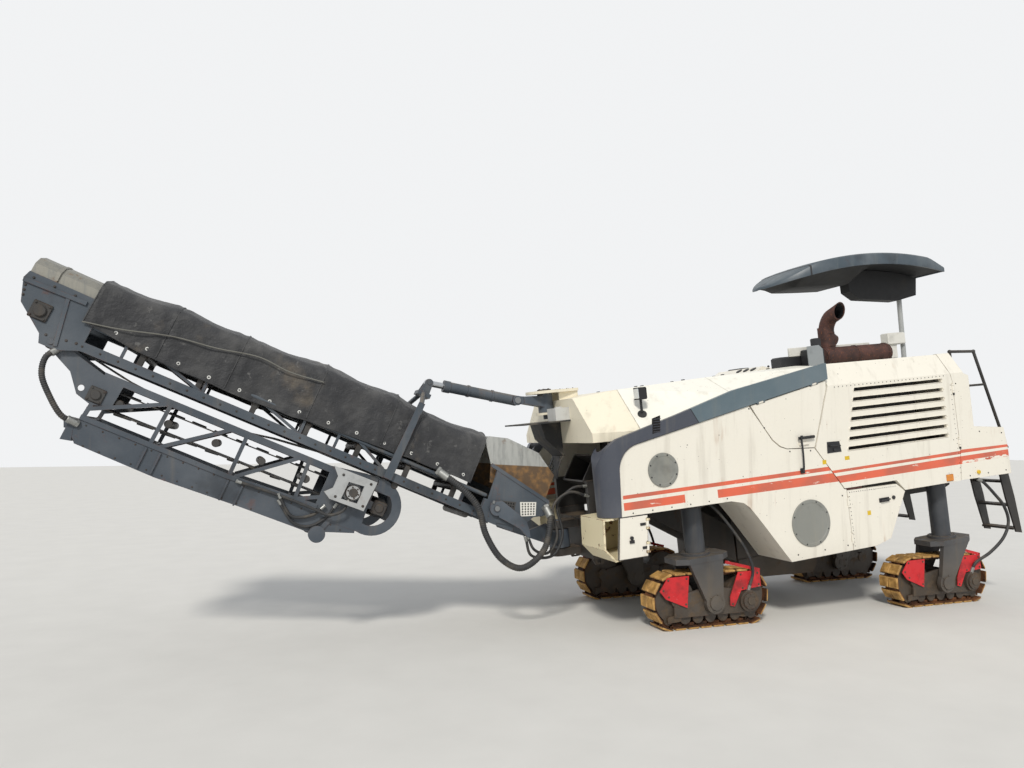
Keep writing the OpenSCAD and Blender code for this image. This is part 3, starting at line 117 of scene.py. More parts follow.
class Kit:
    """Points and faces of many small parts, gathered into one piece."""

    def __init__(self, place=None):
        self.points, self.faces, self.place = [], [], place or Matrix.Identity(4)

    def add(self, points, faces):
        start = len(self.points)
        self.points += [tuple(self.place @ Vector(p)) for p in points]
        self.faces += [[i + start for i in f] for f in faces]

    def grid(self, rows, closed_across=False, closed_along=False, caps=False):
        """A surface through rows of points. Faces join neighbours, and caps close the first and last rows."""
        rows = np.asarray(rows, float)
        m, n = rows.shape[:2]
        i = np.arange(m if closed_along else m - 1)[:, None]
        j = np.arange(n if closed_across else n - 1)[None, :]
        quads = np.stack(np.broadcast_arrays(i * n + j, i * n + (j + 1) % n,
                                             (i + 1) % m * n + (j + 1) % n, (i + 1) % m * n + j), -1)
        faces = quads.reshape(-1, 4).tolist()
        if caps:
            faces += [list(range(n))[::-1], list(range((m - 1) * n, m * n))]
        self.add(rows.reshape(-1, 3), faces)

    def box(self, low, high, bevel=0.0):
        """A box between two corners. Bevel cuts its edges: an octagon in x and y, drawn in at both ends."""
        (x0, y0, z0), (x1, y1, z1) = low, high
        b = min(bevel or 0.002, 0.49 * min(x1 - x0, y1 - y0, z1 - z0))

        def ring(inset, z):
            a0, a1, c0, c1 = x0 + inset, x1 - inset, y0 + inset, y1 - inset
            k = b * 0.6
            return [(a0 + k, c0, z), (a1 - k, c0, z), (a1, c0 + k, z), (a1, c1 - k, z),
                    (a1 - k, c1, z), (a0 + k, c1, z), (a0, c1 - k, z), (a0, c0 + k, z)]
        self.grid([ring(b, z0), ring(0, z0 + b), ring(0, z1 - b), ring(b, z1)], closed_across=True, caps=True)

    def disc(self, centre, axis, radius, height, sides=16, bevel=0.0, bore=0.0):
        """A turned part: its profile goes round the axis from centre, with cut edges and maybe a bore."""
        z = Vector(axis).normalized()
        x = z.orthogonal().normalized()
        y = z.cross(x)
        b = bevel or min(0.002, 0.3 * height, 0.3 * radius)
        profile = [(bore, 0), (radius - b, 0), (radius, b), (radius, height - b), (radius - b, height),
                   (bore, height)]
        if not bore:
            profile = profile[1:-1]
        rows = [[Vector(centre) + z * h + (x * math.cos(a) + y * math.sin(a)) * r
                 for a in np.linspace(0, 2 * math.pi, sides, endpoint=False)] for r, h in profile]
        if bore:
            self.grid(rows, closed_across=True, closed_along=True)
        else:
            self.grid(rows, closed_across=True, caps=True)

    def bolt(self, centre, axis, size=0.012):
        """A washer with a six-sided head."""
        z = Vector(axis).normalized()
        self.disc(centre, z, size, size * 0.22, sides=12)
        self.disc(Vector(centre) + z * size * 0.2, z, size * 0.66, size * 0.55, sides=6)

    def bolts_round(self, centre, axis, radius, count, size, start=0.0, across=((1, 0, 0), (0, 0, 1))):
        """Bolts at equal angles on a circle in the plane of two directions, the first at the angle start."""
        a, b = (Vector(direction) for direction in across)
        for turn in start + np.arange(count) * 2 * math.pi / count:
            self.bolt(Vector(centre) + (a * math.cos(turn) + b * math.sin(turn)) * radius, axis, size)

    def bolt_row(self, first, last, axis, count, size):
        """Bolts at equal steps from first to last."""
        for share in np.linspace(0, 1, count):
            self.bolt(Vector(first).lerp(Vector(last), share), axis, size)

    def tube(self, path, radius, sides=10):
        """A round bar along a path. Each ring stands square to the path's direction there."""
        self.grid(sweep(path, radius, sides), closed_across=True, caps=True)

    def plate(self, outline, depth, place=None):
        """A flat outline in x and z given a depth along y, from y = 0."""
        n = len(outline)
        pts = [(p[0], 0.0, p[1]) for p in outline] + [(p[0], depth, p[1]) for p in outline]
        if place is not None:
            pts = [tuple(place @ Vector(p)) for p in pts]
        faces = [list(range(n)), list(range(n, 2 * n))[::-1]]
        faces += [[i, i + n, (i + 1) % n + n, (i + 1) % n] for i in range(n)]
        self.add(pts, faces)

    def make(self, name, body, slot, finish, auto=35):
        """Edges bent by more than auto degrees stay sharp; 0 is flat."""
        obj = piece(name, self.points, self.faces, body, finish, False)
        tidy = bmesh.new()
        tidy.from_mesh(obj.data)
        bmesh.ops.recalc_face_normals(tidy, faces=tidy.faces)
        tidy.to_mesh(obj.data)
        tidy.free()
        if auto:
            obj.data.polygons.foreach_set("use_smooth", [True] * len(obj.data.polygons))
            obj.data.set_sharp_from_angle(angle=math.radians(auto))
        return obj


def smooth_path(points, step=0.03):
    """A Catmull-Rom curve through the points, then taken at equal steps along its length."""
    p = np.asarray(points, float)
    p = np.vstack([2 * p[0] - p[1], p, 2 * p[-1] - p[-2]])
    t = np.linspace(0, 1, 24, endpoint=False)[:, None]
    a, b, c, d = p[:-3], p[1:-2], p[2:-1], p[3:]
    out = [0.5 * (2 * b[i] + (c[i] - a[i]) * t + (2 * a[i] - 5 * b[i] + 4 * c[i] - d[i]) * t ** 2
                  + (3 * b[i] - a[i] - 3 * c[i] + d[i]) * t ** 3) for i in range(len(a))]
    curve = np.vstack(out + [p[-2]])
    along = np.concatenate([[0], np.cumsum(np.linalg.norm(np.diff(curve, axis=0), axis=1))])
    count = max(3, int(round(along[-1] / step)) + 1)
    at = np.linspace(0, along[-1], count)
    return np.stack([np.interp(at, along, curve[:, k]) for k in range(3)], 1)


def sweep(path, radius, sides):
    """Rings round a path, carried along it without twist. Radius may be one number or one for each ring."""
    path = np.asarray(path, float)
    tangent = np.gradient(path, axis=0)
    tangent /= np.linalg.norm(tangent, axis=1)[:, None]
    side = np.cross(tangent[0], (0.31, 0.27, 0.91))
    side /= np.linalg.norm(side)
    angles = np.linspace(0, 2 * math.pi, sides, endpoint=False)
    radius = np.broadcast_to(radius, len(path))
    rows = []
    for k in range(len(path)):
        side = side - tangent[k] * np.dot(side, tangent[k])
        side /= np.linalg.norm(side)
        other = np.cross(tangent[k], side)
        rows.append(path[k] + radius[k] * (np.cos(angles)[:, None] * side + np.sin(angles)[:, None] * other))
    return np.array(rows)


# ---------------------------------------------------------------- finishes
def linear(hexa):
    """A colour written as on screen, as linear numbers."""
    channel = [int(hexa[i:i + 2], 16) / 255 for i in (1, 3, 5)]
    return tuple(c / 12.92 if c <= 0.04045 else ((c + 0.055) / 1.055) ** 2.4 for c in channel)


class Value:
    """A number in a material: Python arithmetic on it adds Math nodes."""

    def __init__(self, finish, socket):
        self.finish, self.socket = finish, socket

    def do(self, operation, *others):
        return self.finish.math(operation, self, *others)

    def __add__(self, o):
        return self.do("ADD", o)

    def __mul__(self, o):
        return self.do("MULTIPLY", o)

    def __sub__(self, o):
        return self.do("SUBTRACT", o)

    def __rsub__(self, o):
        return self.finish.math("SUBTRACT", o, self)

    __radd__, __rmul__ = __add__, __mul__

    def over(self, low, high):
        """0 below low and 1 above high, turning smoothly between."""
        return self.finish.node("ShaderNodeMapRange", {"interpolation_type": "SMOOTHSTEP", "clamp": True},
                                {"Value": self, "From Min": low, "From Max": high})

    def size(self):
        return self.do("ABSOLUTE")

    def least(self, o):
        return self.do("MINIMUM", o)

    def most(self, o):
        return self.do("MAXIMUM", o)

    def inside(self, low, high, soft=0.002):
        """1 between low and high."""
        return self.over(low - soft, low + soft) * (1 - self.over(high - soft, high + soft))


class Finish:
    """A procedural material. Positions are Object coordinates, which are the frame's metres."""

    def __init__(self, name):
        self.material = bpy.data.materials.new(name)
        self.material.use_nodes = True
        self.tree = self.material.node_tree
        self.tree.nodes.clear()
        self.place = self.node("ShaderNodeTexCoord", {}, {}, "Object")
        self.x, self.y, self.z = (self.node("ShaderNodeSeparateXYZ", {}, {0: self.place}, k) for k in "XYZ")
        dx, dz = self.x - FRONT_PIVOT[0], self.z - FRONT_PIVOT[1]
        self.u = dx * math.cos(PITCH) + dz * math.sin(PITCH)
        self.w = dz * math.cos(PITCH) - dx * math.sin(PITCH)
        cx, cz = self.x - LIFT_X, self.z - LIFT_Z
        self.s = cz * math.sin(TILT) - cx * math.cos(TILT)
        self.n = cz * math.cos(TILT) + cx * math.sin(TILT)

    def node(self, kind, settings, inputs, output=0):
        n = self.tree.nodes.new(kind)
        for key, value in settings.items():
            setattr(n, key, value)
        for key, value in inputs.items():
            socket = n.inputs[key]
            if isinstance(value, Value):
                self.tree.links.new(value.socket, socket)
            elif value is not None:
                socket.default_value = value
        return Value(self, n.outputs[output])

    def math(self, operation, *args):
        return self.node("ShaderNodeMath", {"operation": operation}, dict(enumerate(args)))

    def colour(self, c):
        return tuple(linear(c)) + (1.0,) if isinstance(c, str) else c

    def mix(self, a, b, share):
        """Colour a turning into colour b by share."""
        return self.node("ShaderNodeMix", {"data_type": "RGBA"},
                         {0: share, 6: self.colour(a), 7: self.colour(b)}, 2)

    def stretched(self, sx, sy, sz):
        return self.node("ShaderNodeVectorMath", {"operation": "MULTIPLY"}, {0: self.place, 1: (sx, sy, sz)})

    def noise(self, scale, detail=3.0, rough=0.55, at=None):
        inputs = {"Vector": at or self.place, "Scale": scale, "Detail": detail, "Roughness": rough}
        return self.node("ShaderNodeTexNoise", {}, inputs)

    def cells(self, scale):
        return self.node("ShaderNodeTexVoronoi", {}, {"Vector": self.place, "Scale": scale}, "Distance")

    def spots(self, scale, radius, share):
        """Small round marks: cells whose own random number is below share, within radius of their middle."""
        n = self.tree.nodes.new("ShaderNodeTexVoronoi")
        self.tree.links.new(self.place.socket, n.inputs["Vector"])
        n.inputs["Scale"].default_value = scale
        chance = self.node("ShaderNodeSeparateColor", {}, {0: Value(self, n.outputs["Color"])}, 0)
        near = 1 - Value(self, n.outputs["Distance"]).over(radius * 0.6, radius)
        return near * (1 - chance.over(share - 0.01, share + 0.01))

    def edges(self, radius=0.01):
        """Nearness to an edge: how far the normal of a rounded copy turns from the true normal."""
        rounded = self.node("ShaderNodeBevel", {"samples": 4}, {"Radius": radius})
        true = self.node("ShaderNodeNewGeometry", {}, {}, "Normal")
        dot = self.node("ShaderNodeVectorMath", {"operation": "DOT_PRODUCT"}, {0: rounded, 1: true}, "Value")
        return (1 - dot).over(0.01, 0.12)

    def facing_up(self):
        normal = self.node("ShaderNodeNewGeometry", {}, {}, "Normal")
        return self.node("ShaderNodeSeparateXYZ", {}, {0: normal}, "Z")

    def end(self, colour, rough=0.5, metal=0.0, bump=None, depth=0.002, coat=0.0, sheen=0.0, specular=0.5):
        """The shader. Bump is a height of 0 to 1 over depth metres."""
        shader = self.tree.nodes.new("ShaderNodeBsdfPrincipled")
        for key, value in (("Base Color", self.colour(colour)), ("Roughness", rough), ("Metallic", metal),
                           ("Coat Weight", coat), ("Sheen Weight", sheen), ("Specular IOR Level", specular)):
            if isinstance(value, Value):
                self.tree.links.new(value.socket, shader.inputs[key])
            else:
                shader.inputs[key].default_value = value
        if bump is not None:
            normal = self.node("ShaderNodeBump", {}, {"Height": bump, "Distance": depth, "Strength": 1.0})
            self.tree.links.new(normal.socket, shader.inputs["Normal"])
        out = self.tree.nodes.new("ShaderNodeOutputMaterial")
        self.tree.links.new(shader.outputs[0], out.inputs["Surface"])
        return self.material


def streaks(f, scale=9.0):
    """Marks that run down the surface: noise that is long in z."""
    return f.noise(scale, 4.0, 0.6, f.stretched(1.0, 1.0, 0.09)).over(0.52, 0.75)


def weathered(f, colour, dirt="#6a5a45", rust="#6b3a22", chips=0.5, low=1.1, edge=0.5, grime=0.5):
    """A paint that has faded in patches, with specks, streaks, rusty edges and dust towards the ground."""
    patches = f.noise(1.6, 4.0)
    fine = f.noise(38.0, 2.0)
    faded = f.mix(colour, "#ffffff", (patches - 0.45) * 0.18)
    c = f.mix(faded, dirt, streaks(f) * 0.22 * grime + (fine - 0.5).most(0.0) * 0.12 * grime)
    c = f.mix(c, "#2c2823", (f.spots(30.0, 0.16, 0.10) * 0.75 + f.spots(11.0, 0.10, 0.10) * 0.8) * chips)
    ground = (1 - f.z.over(0.25, low)) * (0.25 + f.noise(5.0, 5.0) * 0.75)
    c = f.mix(c, dirt, ground * 0.65 * grime)
    worn = f.edges() * f.noise(14.0, 4.0).over(0.42, 0.62) * edge
    c = f.mix(c, rust, worn)
    return c, worn


def stripe_mask(f):
    """A thin and a thick stripe along the side. Each edge is three straight lines, one for each section of the
    side: (at u, height there, rise)."""
    door = (f.u - 1.330 - (1.385 - f.w) * 0.685).over(-0.002, 0.002)
    rear = f.u.over(3.320, 3.326)

    def line(front, middle, back):
        parts = [(f.u - u0) * rise + w0 for u0, w0, rise in (front, middle, back)]
        return parts[0] * (1 - door) + parts[1] * (door - rear) + parts[2] * rear

    def stripe(low, high):
        above = (f.w - line(*low)).over(-0.001, 0.001)
        return above * (line(*high) - f.w).over(-0.001, 0.001)
    thin = stripe(((-0.93, 1.151, -0.006), (1.52, 1.103, 0.0017), (3.35, 1.115, -0.007)),
                  ((-0.92, 1.187, -0.003), (1.527, 1.132, 0.0057), (3.357, 1.153, -0.02)))
    thick = stripe(((-0.98, 1.046, -0.0135), (1.6, 0.994, 0.0), (3.35, 0.998, 0.0)),
                   ((-0.976, 1.118, -0.0043), (1.573, 1.068, 0.0083), (3.36, 1.081, 0.0)))
    gap = f.u.inside(-0.285, 0.088, 0.002)
    start = f.u.over(-0.952, -0.948)
    chipped = f.noise(22.0, 6.0, 0.7, f.stretched(0.3, 1.0, 1.0)).over(0.63, 0.68)
    scuffed = f.noise(30.0, 4.0, 0.6, f.stretched(0.3, 1, 1)).over(0.45, 0.5)
    streak = rear * (f.w - 0.998).inside(0.0, 0.03, 0.004) * scuffed
    return ((thick * (1 - gap) + thin).least(1.0) * f.y.size().over(1.055, 1.06) * start
            * (1 - (chipped * 0.75 + streak).least(1.0)))


def body_paint(name, stripes=True, base="#e8e3d6"):
    f = Finish(name)
    c, worn = weathered(f, base, chips=0.8, low=0.9, edge=0.45, grime=0.8)
    if stripes:
        mask = stripe_mask(f)
        orange = f.mix("#dd5a36", "#b9573f", f.noise(2.5, 3.0).over(0.35, 0.65))
        c = f.mix(c, orange, mask * 0.95)
    rust_run = streaks(f, 14.0) * f.noise(2.2, 2.0).over(0.58, 0.72)
    c = f.mix(c, "#a06a35", rust_run * 0.4)
    r = 0.34 + f.noise(6.0, 3.0) * 0.2 + worn * 0.25
    return f.end(c, r, bump=f.noise(3.0, 2.0) * 0.9 + f.noise(60.0, 2.0) * 0.1, depth=0.004)


def band_paint():
    """Dark blue-grey moulding at the front corners, greener behind the seam."""
    f = Finish("band_grey")
    seam = f.u + (f.w - 1.9) * 0.55
    base = f.mix("#434751", "#586870", seam.over(-0.12, -0.10))
    c, _ = weathered(f, base, dirt="#8d8573", chips=0.35, edge=0.2, grime=0.7)
    c = f.mix(c, "#14161a", seam.inside(-0.115, -0.105, 0.002))
    return f.end(c, 0.36 + f.noise(8.0, 3.0) * 0.2, bump=f.noise(45.0, 2.0), depth=0.0008)


def steel_paint(name, colour, dust="#8a7a62", rust="#7a4426", rough=0.5, dusty=0.5, rusty=0.5):
    """Frame paint with dust on what faces up, rusty scuffed edges and dull oily patches."""
    f = Finish(name)
    c, _ = weathered(f, colour, dirt=dust, rust=rust, chips=0.35, low=0.9, edge=0.8 * rusty, grime=0.8)
    up = f.facing_up().over(0.35, 0.95) * f.noise(9.0, 5.0).over(0.3, 0.7)
    c = f.mix(c, dust, up * dusty)
    bloom = f.noise(5.0, 6.0, 0.65).over(0.60, 0.72)
    c = f.mix(c, rust, bloom * 0.7 * rusty)
    oil = f.noise(2.4, 4.0).over(0.55, 0.7)
    c = f.mix(c, "#14120f", oil * 0.35)
    r = rough + bloom * 0.3 + up * 0.3 - oil * 0.15
    return f.end(c, r, bump=f.noise(70.0, 3.0) * 0.5 + bloom * 0.5, depth=0.0015)


def rusty_metal(name, light="#7b4a35", dark="#3b2620", shine=0.25):
    f = Finish(name)
    big, fine = f.noise(5.0, 6.0, 0.6), f.noise(60.0, 4.0)
    c = f.mix(dark, light, big.over(0.35, 0.68))
    c = f.mix(c, "#a5643a", (fine.over(0.56, 0.7)) * 0.35)
    return f.end(c, 0.62 + fine * 0.25, metal=shine, bump=fine + big, depth=0.0018)


def zinc(name, colour="#a9aaa6", rust=0.4, line=None):
    """Bare or zinc-coated sheet, brushed and stained. Line is a mask under which it is rust brown."""
    f = Finish(name)
    brushed = f.noise(30.0, 3.0, 0.6, f.stretched(1.0, 1.0, 0.15))
    c = f.mix(colour, "#6f7272", brushed.over(0.4, 0.75) * 0.5)
    blotch = f.noise(7.0, 6.0, 0.65)
    c = f.mix(c, "#6d5138", (blotch.over(0.58, 0.68) * rust).least(1.0))
    c = f.mix(c, "#d9dbd8", f.noise(3.0, 3.0).over(0.6, 0.8) * 0.35)
    metal = 0.55 - blotch.over(0.58, 0.68) * 0.4
    if line is not None:
        brown = line(f)
        c = f.mix(c, f.mix("#5d4a36", "#86643c", f.noise(18.0, 5.0).over(0.4, 0.7)), brown)
        metal = metal * (1 - brown)
    return f.end(c, 0.42 + blotch * 0.3, metal=metal, bump=blotch + brushed * 0.3, depth=0.002)


def rubber(name, colour="#232426", dust=0.35):
    f = Finish(name)
    dusty = f.noise(8.0, 5.0).over(0.45, 0.75) * dust
    c = f.mix(colour, "#8c8170", dusty + f.facing_up().over(0.5, 1.0) * dust * 0.6)
    return f.end(c, 0.62 + dusty * 0.3, bump=f.noise(80.0, 3.0), depth=0.0012)


def plain(name, colour, rough=0.5, metal=0.0, coat=0.0, grain=40.0, depth=0.0008):
    f = Finish(name)
    c = f.mix(colour, "#3a342c", f.noise(6.0, 4.0).over(0.5, 0.8) * 0.3)
    rough = rough + f.noise(12.0, 2.0) * 0.15
    return f.end(c, rough, metal=metal, coat=coat, bump=f.noise(grain, 2.0), depth=depth)


def shoe_finish():
    """Track shoes: ochre dust worn over rubber pads, paler at their edges."""
    f = Finish("track_shoes")
    c = f.mix("#8f6a35", "#c79b58", f.noise(14.0, 5.0).over(0.3, 0.7))
    c = f.mix(c, "#4a3a26", f.noise(5.0, 5.0).over(0.55, 0.75) * 0.7)
    c = f.mix(c, "#e0c08a", f.edges(0.008) * 0.35)
    return f.end(c, 0.75, bump=f.noise(50.0, 4.0), depth=0.003)


def undercarriage():
    """Track frames: oily black brown, with the red guards on the outer side."""
    f = Finish("undercarriage")
    c, _ = weathered(f, "#2a2725", dirt="#6e5a40", chips=0.1, low=0.8, edge=0.5)
    mud = f.noise(9.0, 6.0, 0.6).over(0.5, 0.68)
    c = f.mix(c, "#5b4a36", mud * 0.7)
    guard = f.y.size().inside(0.9385, 0.948, 0.0008)
    px = f.x - FRONT_PIVOT[0]
    rear = px.over(1.5, 1.51)
    along = px - rear * WHEELBASE
    motor = ((along - 0.42) * (along - 0.42) + (f.z - 0.237) * (f.z - 0.237)).over(0.0115, 0.012)
    red = f.mix("#c8242a", "#8e1f22", f.noise(6.0, 4.0).over(0.45, 0.7))
    red = f.mix(red, "#e8e0dc", f.noise(34.0, 6.0, 0.7).over(0.66, 0.7) * 0.6)
    c = f.mix(c, red, guard * motor)
    return f.end(c, 0.5 + mud * 0.3, bump=f.noise(45.0, 4.0) + mud, depth=0.002)


def nose_cream(name):
    """Cream paint that has rusted through along edges and in scabs."""
    f = Finish(name)
    c, _ = weathered(f, "#e3d7b4", dirt="#7a6746", chips=0.9, edge=0.0)
    scab = (f.noise(9.0, 8.0, 0.7) + f.edges(0.02) * 0.14).over(0.60, 0.645)
    rust = f.mix("#4a3020", "#8b5a32", f.noise(40.0, 3.0).over(0.4, 0.6))
    c = f.mix(c, rust, scab * 0.9)
    return f.end(c, 0.45 + scab * 0.35, bump=(1 - scab) + f.noise(50.0, 2.0) * 0.3, depth=0.0015)


CREAM = body_paint("cream_paint")
HOOD = body_paint("hood_cream", stripes=False, base="#edeade")
NOSE = nose_cream("nose_cream")
FRONT = body_paint("front_cream", stripes=False, base="#e7dfc9")
BAND = band_paint()
SLATE = steel_paint("slate_paint", "#3c454e")
YOKE = steel_paint("yoke_paint", "#48515b", dusty=0.35, rusty=0.5)
FOLD = steel_paint("fold_paint", "#3d454e", dusty=0.3, rusty=0.35)
DARK = steel_paint("dark_steel", "#2a2826", dust="#6c5940", rust="#553521", rough=0.55)
LEG = steel_paint("leg_paint", "#33373d", dust="#75654d", rust="#5b3a26", rusty=0.3)
LIGHT = steel_paint("light_grey_paint", "#a6a8a8", dust="#7b7264", rust="#7a4a2b", rusty=0.35)
EXHAUST = rusty_metal("exhaust_brown", "#573831", "#33221f", 0.15)
TOOL = rusty_metal("drum_steel", "#6d5a48", "#2b221c", 0.4)
UNDER = undercarriage()
SHOES = shoe_finish()
HULL = steel_paint("canopy_grey", "#3c4851", dust="#8f938f", rough=0.42, dusty=0.25, rusty=0.12)
TAIL = zinc("tail_hood_sheet", "#b4b5b1", 0.55, lambda f: (1 - (f.n - 0.450 + f.s * 0.365).over(-0.004, 0.006))
            * f.y.size().over(0.335, 0.338))
TIP = zinc("tip_hood_sheet", "#8c8a82", 0.8)
BELT = rubber("belt_rubber")
HOSE = rubber("hose_rubber", "#2a2b2d", 0.25)
COVER = steel_paint("cover_grey", "#84857f", dust="#a29a86", rust="#6b4a2e", dusty=0.1, rusty=0.15)
CHROME = plain("rod_steel", "#b9bcbf", 0.16, 1.0, grain=90.0, depth=0.0001)
PLASTIC = plain("black_plastic", "#1b1c1e", 0.5)
GREY_BOX = steel_paint("box_grey", "#c2c2be", dust="#8f887a", rusty=0.2)
PALE = steel_paint("pole_grey", "#a2a4a3", dust="#8f887a", rusty=0.2)

finish_of = {
    "chassis_frame": DARK, "drum_housing": DARK, "side_panel_left": CREAM, "side_panel_right": CREAM,
    "grey_bands": BAND, "middle_flap": CREAM, "engine_door": CREAM, "toolbox_door": CREAM,
    "rear_side_panels": CREAM, "nose_boxes": NOSE, "nose_door": CREAM, "hood": HOOD, "front_top_box": FRONT,
    "transfer_box": BELT, "deck_boxes": GREY_BOX, "engine_block": DARK, "engine_cover": HOOD,
    "exhaust": EXHAUST, "operator_platform": DARK, "operator_console": CREAM, "operator_seat": PLASTIC,
    "canopy": HULL, "canopy_pole": PALE, "handrails": DARK, "rear_steps": DARK, "round_covers": COVER,
    "work_lamp": PLASTIC, "loading_chute": DARK, "milling_drum": TOOL, "scraper_door": TOOL, "slew_yoke": YOKE,
    "conveyor_frame": SLATE, "conveyor_canvas": BELT, "conveyor_belt": BELT, "tip_hood": TIP,
    "tail_chute": TAIL, "fold_frame": FOLD, "fold_belt": BELT, "fold_motor": LIGHT, "lift_cylinder": SLATE,
    "lift_rod": CHROME}
for name, node in nodes.items():
    for start, finish in (("track_", SHOES), ("track_frame", UNDER), ("leg_", LEG)):
        if name.startswith(start):
            finish_of[name] = finish
    node.data.materials.clear()
    node.data.materials.append(finish_of.get(name, DARK))

# ---------------------------------------------------------------- hoses and cords
ALUMINIUM = plain("fitting_metal", "#9a9b98", 0.35, 0.8)
ROPE = plain("rope_grey", "#6d6c66", 0.8, grain=200.0, depth=0.001)


def hose(name, points, diameter, body, ribbed=0.0, finish=HOSE, across=None, ends=True,
         slot="belt_rubber"):
    """A hose through the points. Ribbed is the pitch of its corrugations: its radius is a cosine of the length.
    Across is (other body, start, end) where the hose crosses a joint: the hose then rides on no body and its far
    fitting rides on the other body; start and end are not used."""
    path = smooth_path(points, ribbed / 5 if ribbed else max(0.012, diameter * 0.6))
    along = np.concatenate([[0], np.cumsum(np.linalg.norm(np.diff(path, axis=0), axis=1))])
    radius = np.full(len(path), diameter / 2)
    if ribbed:
        radius = radius * (1 - 0.07 * (1 - np.cos(2 * math.pi * along / ribbed)))
    kit = Kit()
    kit.grid(sweep(path, radius, 14 if diameter > 0.04 else 10), closed_across=True, caps=True)
    obj = kit.make(name, None if across else body, slot, finish, auto=60)
    if ends:
        for k, (tip, next_one) in enumerate(((path[0], path[3]), (path[-1], path[-4]))):
            axis = Vector(next_one) - Vector(tip)
            axis.normalize()
            fit = Kit()
            r = diameter / 2
            fit.disc(Vector(tip) - axis * 0.6 * r, axis, r * 1.22, r * 3.2, sides=14, bevel=r * 0.15)
            fit.disc(Vector(tip) - axis * 1.4 * r, axis, r * 1.38, r * 0.9, sides=6, bevel=r * 0.1)
            rides_on = across[0] if across and k else body
            fit.make(f"{name}_fitting_{k}", rides_on, "rod_steel", ALUMINIUM)
    if across:
        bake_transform(obj)


hose("loop_hose", [conveyor(0.643, -0.428, 0.105)] + [chassis(u, y, w) for u, w, y in (
    (-2.349, 1.414, -0.500), (-2.201, 1.206, -0.525), (-2.145, 0.928, -0.525), (-2.013, 0.678, -0.525),
    (-1.807, 0.564, -0.525), (-1.569, 0.705, -0.525), (-1.465, 0.990, -0.510))]
    + [conveyor(-0.500, -0.455, 0.180)], 0.066, "conveyor", ribbed=0.020)
hose("yoke_hose", [chassis(u, y, w) for u, w, y in (
    (-1.005, 1.250, -0.415), (-1.160, 1.240, -0.400), (-1.315, 1.087, -0.350), (-1.300, 0.805, -0.380),
    (-1.434, 0.610, -0.400), (-1.660, 0.640, -0.400), (-1.716, 0.830, -0.430))], 0.028, "chassis",
    across=("slewing_yoke", chassis(-1.2, -0.35, 1.1), chassis(-1.55, -0.4, 0.62)))
hose("yoke_hose_2", [chassis(u, y, w) for u, w, y in (
    (-1.005, 1.150, -0.425), (-1.200, 1.210, -0.425), (-1.385, 1.087, -0.410), (-1.380, 0.800, -0.430),
    (-1.500, 0.650, -0.440), (-1.640, 0.700, -0.440), (-1.700, 0.850, -0.445))], 0.028, "chassis",
    across=("slewing_yoke", chassis(-1.2, -0.4, 1.1), chassis(-1.6, -0.42, 0.65)))
for k, path in enumerate((((1.906, -0.690), (1.725, -0.815), (1.574, -0.800), (1.467, -0.673), (1.431, -0.535)),
                          ((1.932, -0.640), (1.755, -0.768), (1.596, -0.700), (1.527, -0.590)))):
    hose(f"fold_loop_{k}", [conveyor(s, -0.388 - 0.014 * k, n) for s, n in path], 0.026, "folding_section")
hose("fold_hinge_hose", [conveyor(s, y, n) for s, y, n in (
    (4.060, -0.385, -0.200), (4.100, -0.430, -0.300), (4.060, -0.445, -0.440), (3.940, -0.445, -0.570),
    (3.800, -0.430, -0.680), (3.690, -0.385, -0.700))], 0.050, "folding_section", ribbed=0.018)
hose("fold_motor_hose", [conveyor(s, y, n) for s, y, n in (
    (1.345, -0.430, -0.460), (1.360, -0.455, -0.560), (1.460, -0.450, -0.640), (1.600, -0.430, -0.640),
    (1.900, -0.405, -0.640), (2.300, -0.402, -0.660))], 0.026, "folding_section")
# To the track motors: places as (x, distance from the middle, z), where the hose bends, and its diameter
TRACK_HOSES = {
    "front": ([(0.985, 0.860, 1.250), (1.120, 0.900, 1.120), (1.250, 0.950, 0.940), (1.380, 0.980, 0.740),
               (1.450, 0.985, 0.540), (1.420, 0.948, 0.352)], (1.38, 1.10), (1.50, 0.60), 0.030),
    "rear": ([(4.470, 1.075, 1.398), (4.560, 1.075, 1.350), (4.740, 1.050, 1.220), (4.900, 1.030, 1.080),
              (4.960, 1.030, 0.900), (4.870, 1.030, 0.720), (4.680, 1.010, 0.560), (4.500, 0.970, 0.450),
              (4.450, 0.948, 0.352)], (4.75, 1.20), (4.60, 0.50), 0.034)}
for end, (points, (x0, z0), (x1, z1), diameter) in TRACK_HOSES.items():
    for side, tag in ((-1, "left"), (1, "right")):
        hose(f"track_hose_{end[0]}{tag[0]}", [(x, side * y, z) for x, y, z in points], diameter, "chassis",
             across=(f"leg_{end}_{tag}", (x0, side, z0), (x1, side, z1)))
hose("canvas_rope", [conveyor(s, y, n) for s, y, n in (
    (3.985, -0.448, 0.084), (3.700, -0.442, 0.150), (3.311, -0.440, 0.270), (2.950, -0.442, 0.330),
    (2.598, -0.440, 0.410), (2.300, -0.440, 0.400), (1.990, -0.440, 0.440))], 0.012, "conveyor",
    finish=ROPE, ends=False, slot="canvas")

# ---------------------------------------------------------------- canvas cover
HOOPS = np.array([0.34, 1.01, 1.29, 2.00, 2.74, 3.36, 3.98])
CANVAS = np.array([  # s, lower edge, shoulder, top, half width
    [0.34, 0.129, 0.560, 0.660, 0.428], [1.01, 0.121, 0.520, 0.620, 0.424], [1.29, 0.105, 0.560, 0.655, 0.426],
    [2.00, 0.060, 0.550, 0.640, 0.428], [2.74, 0.020, 0.490, 0.585, 0.428], [3.36, 0.036, 0.490, 0.580, 0.428],
    [3.98, 0.084, 0.440, 0.530, 0.438]])
CANVAS_REACH = 0.448


